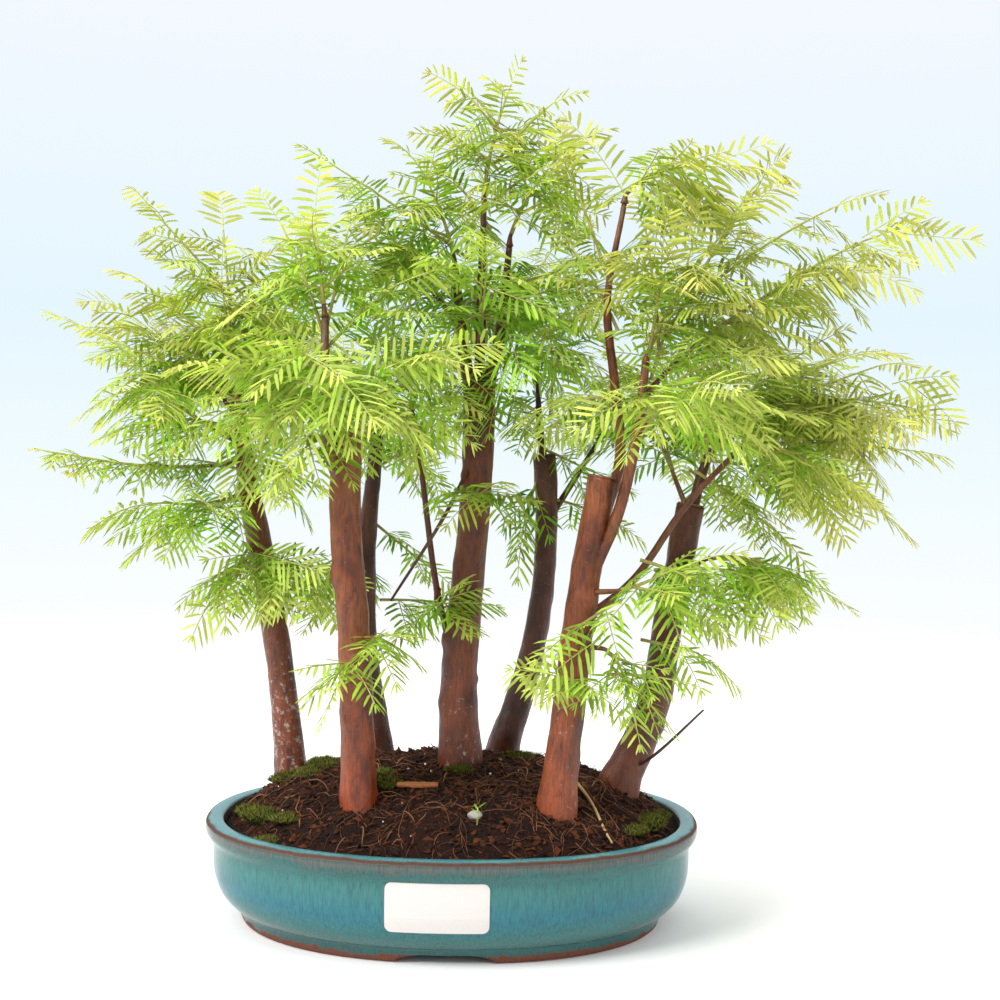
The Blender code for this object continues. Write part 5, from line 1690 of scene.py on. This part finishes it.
def sister(root, start, tip, draw):
    """The curve of a further spray from the same wood, turned away from the first."""
    run = np.array(tip, float) - start
    reach = np.linalg.norm(run) * draw.uniform(0.55, 0.95) + 8
    turn = draw.choice((-1, 1)) * draw.uniform(0.4, 1.6)
    spin = np.array(Matrix.Rotation(turn, 3, "Z"))
    way = unit(spin @ unit(run) + SKY * draw.uniform(-0.35, 0.35))
    base = root + (start - root) * draw.uniform(0.45, 1.0)
    lean = unit(unit(start - root) + way)
    return bent(base, base + lean * reach / 2, base + way * reach, 10)


def make_shoots():
    """Each leafy shoot of the solid model, grown full, with sister sprays beside it."""
    full = settings().leaf.fullness
    for name, (_, _, start, tip, pairs, length) in SHOOTS.items():
        draw = random.Random("spray " + name)
        root, _, curve = wood_line(name)
        shape = Shape()
        start, tip = np.array(start, float), np.array(tip, float)
        span = np.linalg.norm(tip - start)
        # the leaves' age: younger higher up and further out, lower round the crown's heart, which
        # is partly older leaves and partly painted shade
        high = np.clip((tip[2] - 180) / 250, 0, 1)
        out = np.clip(math.hypot(tip[0], tip[1]) / 220, 0, 1)
        core = math.exp(-np.sum((tip - CROWN_HEART) ** 2) / CROWN_SHADE ** 2)
        age_and_shade = 0.36 + 0.28 * high + 0.2 * out - 0.5 * core + draw.uniform(-0.08, 0.08)
        newest = tip[2] > NEW_ABOVE or abs(tip[0]) > NEW_BEYOND
        blush = NEW_BLUSH if newest else OLD_BLUSH
        small = length * (SMALL_FROND if tip[2] > LOW_SHOOTS else LOW_FROND)
        if name in SLIM_SHOOTS:
            small, past = SLIM_SHOOTS[name]
            onward = curve[-1] + unit(curve[-1] - curve[-2]) * np.array([[0.5], [1.0]]) * past
            spray(shape, np.vstack([curve, onward]), small, draw, age_and_shade, blush, 0.0, 6)
        elif pairs == 0:
            spray(shape, curve, length * 0.9, draw, age_and_shade + 0.15, 0.1, 0.0, 6)
            for _ in range(3):
                turn = draw.uniform(-1.2, 1.2)
                way = np.array([math.sin(turn), -math.cos(turn), draw.uniform(-0.6, 0.2)])
                frond(shape, place(start), unit(way), SKY, length * MM * 0.85, draw,
                      age_and_shade + 0.3, 0.1)
        else:
            # the twig runs on into the place of the solid's end frond
            end = unit(curve[-1] - curve[-2])
            onward = curve[-1] + end * np.array([[0.2], [0.4]]) * length
            onward[:, 2] -= np.array([0.01, 0.04]) * length
            spray(shape, np.vstack([curve, onward]), small, draw, age_and_shade, blush, 0.05,
                  MAIN_GAP)
            for pair in range(pairs):
                share = FIRST_PAIR + (LAST_PAIR - FIRST_PAIR) * pair / pairs
                knot = min(CURVE_STEPS - 1, int(share * CURVE_STEPS))
                base = curve[knot] + (curve[knot + 1] - curve[knot]) \
                    * (share * CURVE_STEPS - knot)
                ahead = unit(curve[knot + 1] - curve[knot])
                across = level_side(ahead, pair, draw)
                for side in (-1, 1):
                    heading = unit(ahead * FROND_FORWARD + across * side * FROND_OUTWARD
                                   - SKY * draw.uniform(-0.1, 0.45))
                    twig = arc(base, heading, length * draw.uniform(0.4, 0.6), draw)
                    spray(shape, twig, small * 0.95, draw, age_and_shade, blush, 0.15, TWIG_GAP,
                          0.9)
            for _ in range(int(round((1 if span > SISTER_SPAN else 0) * full))):
                spray(shape, sister(root, start, tip, draw), small * draw.uniform(0.85, 1),
                      draw, age_and_shade - 0.1, blush * 0.6, 0.1, SISTER_GAP, 1.1)
        for foot, end, size in EXTRA_SPRAYS.get(name, ()):
            line = arc(np.array(foot, float), unit(np.subtract(end, foot)),
                       math.dist(foot, end), draw, 12)
            spray(shape, line, size, draw, age_and_shade - 0.04, blush, 0.08, TWIG_GAP, 1.0)
        for foot, end, spacing in LARGE_FRONDS.get(name, ()):
            frond(shape, place(foot), unit(np.subtract(end, foot)),
                  FRONT + several(draw, 3, -0.25, 0.25), math.dist(foot, end) * MM, draw,
                  age_and_shade + 0.25, blush * 0.6, 0.06, spacing)
        piece = shape.make("spray_" + name, [surface(living_leaf), surface(green_twig)],
                           False)
        settle(piece, "leaf", "shoot_" + name)


# ---------------------------------------------------------------- stage


def make_stage():
    """Pale floor, soft studio light, pale blue backdrop and the camera."""
    stage = settings().stage
    scene = bpy.context.scene
    scene.view_settings.view_transform = "Standard"
    steps, rows = 128, FLOOR_RINGS
    rings = np.array([[(r * math.cos(a), r * math.sin(a), 0) for a in turns(steps)]
                      for r in rows])
    shape = Shape()
    shape.add(rings.reshape(-1, 3) + ORIGIN * (1, 1, 0), [grid_faces(len(rows), steps)])
    floor = shape.make("studio_floor", [surface(matt_floor)])

    world = bpy.data.worlds.new("pale_backdrop")
    scene.world = world
    world.use_nodes = True
    tree = world.node_tree
    tree.nodes.clear()
    coords = add_node(tree, "TexCoord")
    spot = add_node(tree, "SeparateXYZ", {}, {0: (coords, "Generated")})
    up = remap(tree, (spot, "Z"), -0.2, 0.6)
    colours = ramp(tree, (up, 0), [
        (0.0, linear("#ffffff")), (0.07, linear("#fefeff")), (0.16, linear("#f9feff")),
        (0.24, linear("#f2fcff")), (0.4, linear("#e6f6ff")), (0.68, linear("#f4f9ff")),
        (1.0, linear("#ffffff"))])
    # the backdrop behind the object is the brightest side of the room
    side = remap(tree, (spot, "Y"), -0.6, 0.4, 0.72 * stage.sky_strength, stage.sky_strength)
    glow = add_node(tree, "Background", {}, {"Color": (colours, 0), "Strength": (side, 0)})
    add_node(tree, "OutputWorld", {}, {"Surface": (glow, 0)})

    middle = Vector(ORIGIN) + Vector((0, 0, 0.24))
    lamps = [("key", (-1.05, -0.8, 0.95), 0.8, stage.key_power),
             ("fill", (1.1, -0.6, 0.5), 0.8, stage.fill_power),
             ("top", (0.1, 0.3, 1.5), 1.0, stage.key_power * 0.5)]
    for name, offset, size, power in lamps if stage.keep_lights else ():
        lamp = bpy.data.lights.new(name, "AREA")
        lamp.shape, lamp.size, lamp.energy = "DISK", size, power
        item = bpy.data.objects.new(name + "_light", lamp)
        scene.collection.objects.link(item)
        item.location = middle + Vector(offset)
        item.rotation_euler = Vector(offset).to_track_quat("Z", "Y").to_euler()

    view = bpy.data.cameras.new("camera")
    view.lens, view.sensor_width = CAMERA_LENS, 36
    camera = bpy.data.objects.new("camera", view)
    scene.collection.objects.link(camera)
    stand = Matrix.Translation(Vector(ORIGIN) + Vector(CAMERA_PLACE))
    camera.matrix_world = (stand @ Matrix.Rotation(math.radians(90 - CAMERA_DIP), 4, "X")
                           @ Matrix.Rotation(math.radians(CAMERA_LEAN), 4, "Z"))
    view.clip_start, view.clip_end = 0.01, 20
    scene.camera = camera


# ---------------------------------------------------------------- add-on


class Step:
    """What every step of the making does: it runs its makers in turn."""

    def execute(self, context):
        for make in self.makers:
            make()
        return {"FINISHED"}


class FOREST_OT_pot(Step, bpy.types.Operator):
    """Make the glazed pot"""
    bl_idname, bl_label = "forest.pot", "Pot"
    makers = (make_pot,)


class FOREST_OT_label(Step, bpy.types.Operator):
    """Make the blank paper label on the pot"""
    bl_idname, bl_label = "forest.label", "Label"
    makers = (make_label,)


class FOREST_OT_nets(Step, bpy.types.Operator):
    """Make the nets over the drain holes"""
    bl_idname, bl_label = "forest.nets", "Drain nets"
    makers = (make_nets,)


class FOREST_OT_soil(Step, bpy.types.Operator):
    """Make the soil mound"""
    bl_idname, bl_label = "forest.soil", "Soil"
    makers = (make_soil,)


class FOREST_OT_litter(Step, bpy.types.Operator):
    """Scatter crumbs, perlite and fine roots over the soil"""
    bl_idname, bl_label = "forest.litter", "Crumbs and roots"
    makers = (make_crumbs, make_fibres)


class FOREST_OT_moss(Step, bpy.types.Operator):
    """Grow the moss cushions"""
    bl_idname, bl_label = "forest.moss", "Moss"
    makers = (make_moss,)


class FOREST_OT_loose(Step, bpy.types.Operator):
    """Lay the pebble, the chip, the stalk and the seedling on the soil"""
    bl_idname, bl_label = "forest.loose", "Loose things"
    makers = (make_loose_things,)


class FOREST_OT_trunks(Step, bpy.types.Operator):
    """Grow the seven trunks with their stems"""
    bl_idname, bl_label = "forest.trunks", "Trunks"
    makers = (make_trunks,)


class FOREST_OT_shoots(Step, bpy.types.Operator):
    """Grow the leafy shoots"""
    bl_idname, bl_label = "forest.shoots", "Shoots"
    makers = (make_shoots,)


class FOREST_OT_stage(Step, bpy.types.Operator):
    """Set up the floor, the light and the camera"""
    bl_idname, bl_label = "forest.stage", "Stage"
    makers = (make_stage,)


STEPS = [FOREST_OT_pot, FOREST_OT_label, FOREST_OT_nets, FOREST_OT_soil, FOREST_OT_litter,
         FOREST_OT_moss, FOREST_OT_loose, FOREST_OT_trunks, FOREST_OT_shoots, FOREST_OT_stage]


class FOREST_PT_panel(bpy.types.Panel):
    bl_label = "Dawn redwood forest"
    bl_space_type = "VIEW_3D"
    bl_region_type = "UI"
    bl_category = "Forest"

    def draw(self, context):
        forest = context.scene.forest
        for step in STEPS:
            self.layout.operator(step.bl_idname)
        for group in (forest.pot, forest.soil, forest.bark, forest.leaf, forest.stage):
            box = self.layout.box()
            for key in type(group).__annotations__:
                box.prop(group, key)


CLASSES = [PotSettings, SoilSettings, BarkSettings, LeafSettings, StageSettings,
           ForestSettings, *STEPS, FOREST_PT_panel]


def register():
    for item in CLASSES:
        bpy.utils.register_class(item)
    bpy.types.Scene.forest = PointerProperty(type=ForestSettings)


def unregister():
    del bpy.types.Scene.forest
    for item in reversed(CLASSES):
        bpy.utils.unregister_class(item)


def main():
    register()
    for step in STEPS:
        group, name = step.bl_idname.split(".")
        getattr(getattr(bpy.ops, group), name)()


if __name__ == "__main__":
    main()
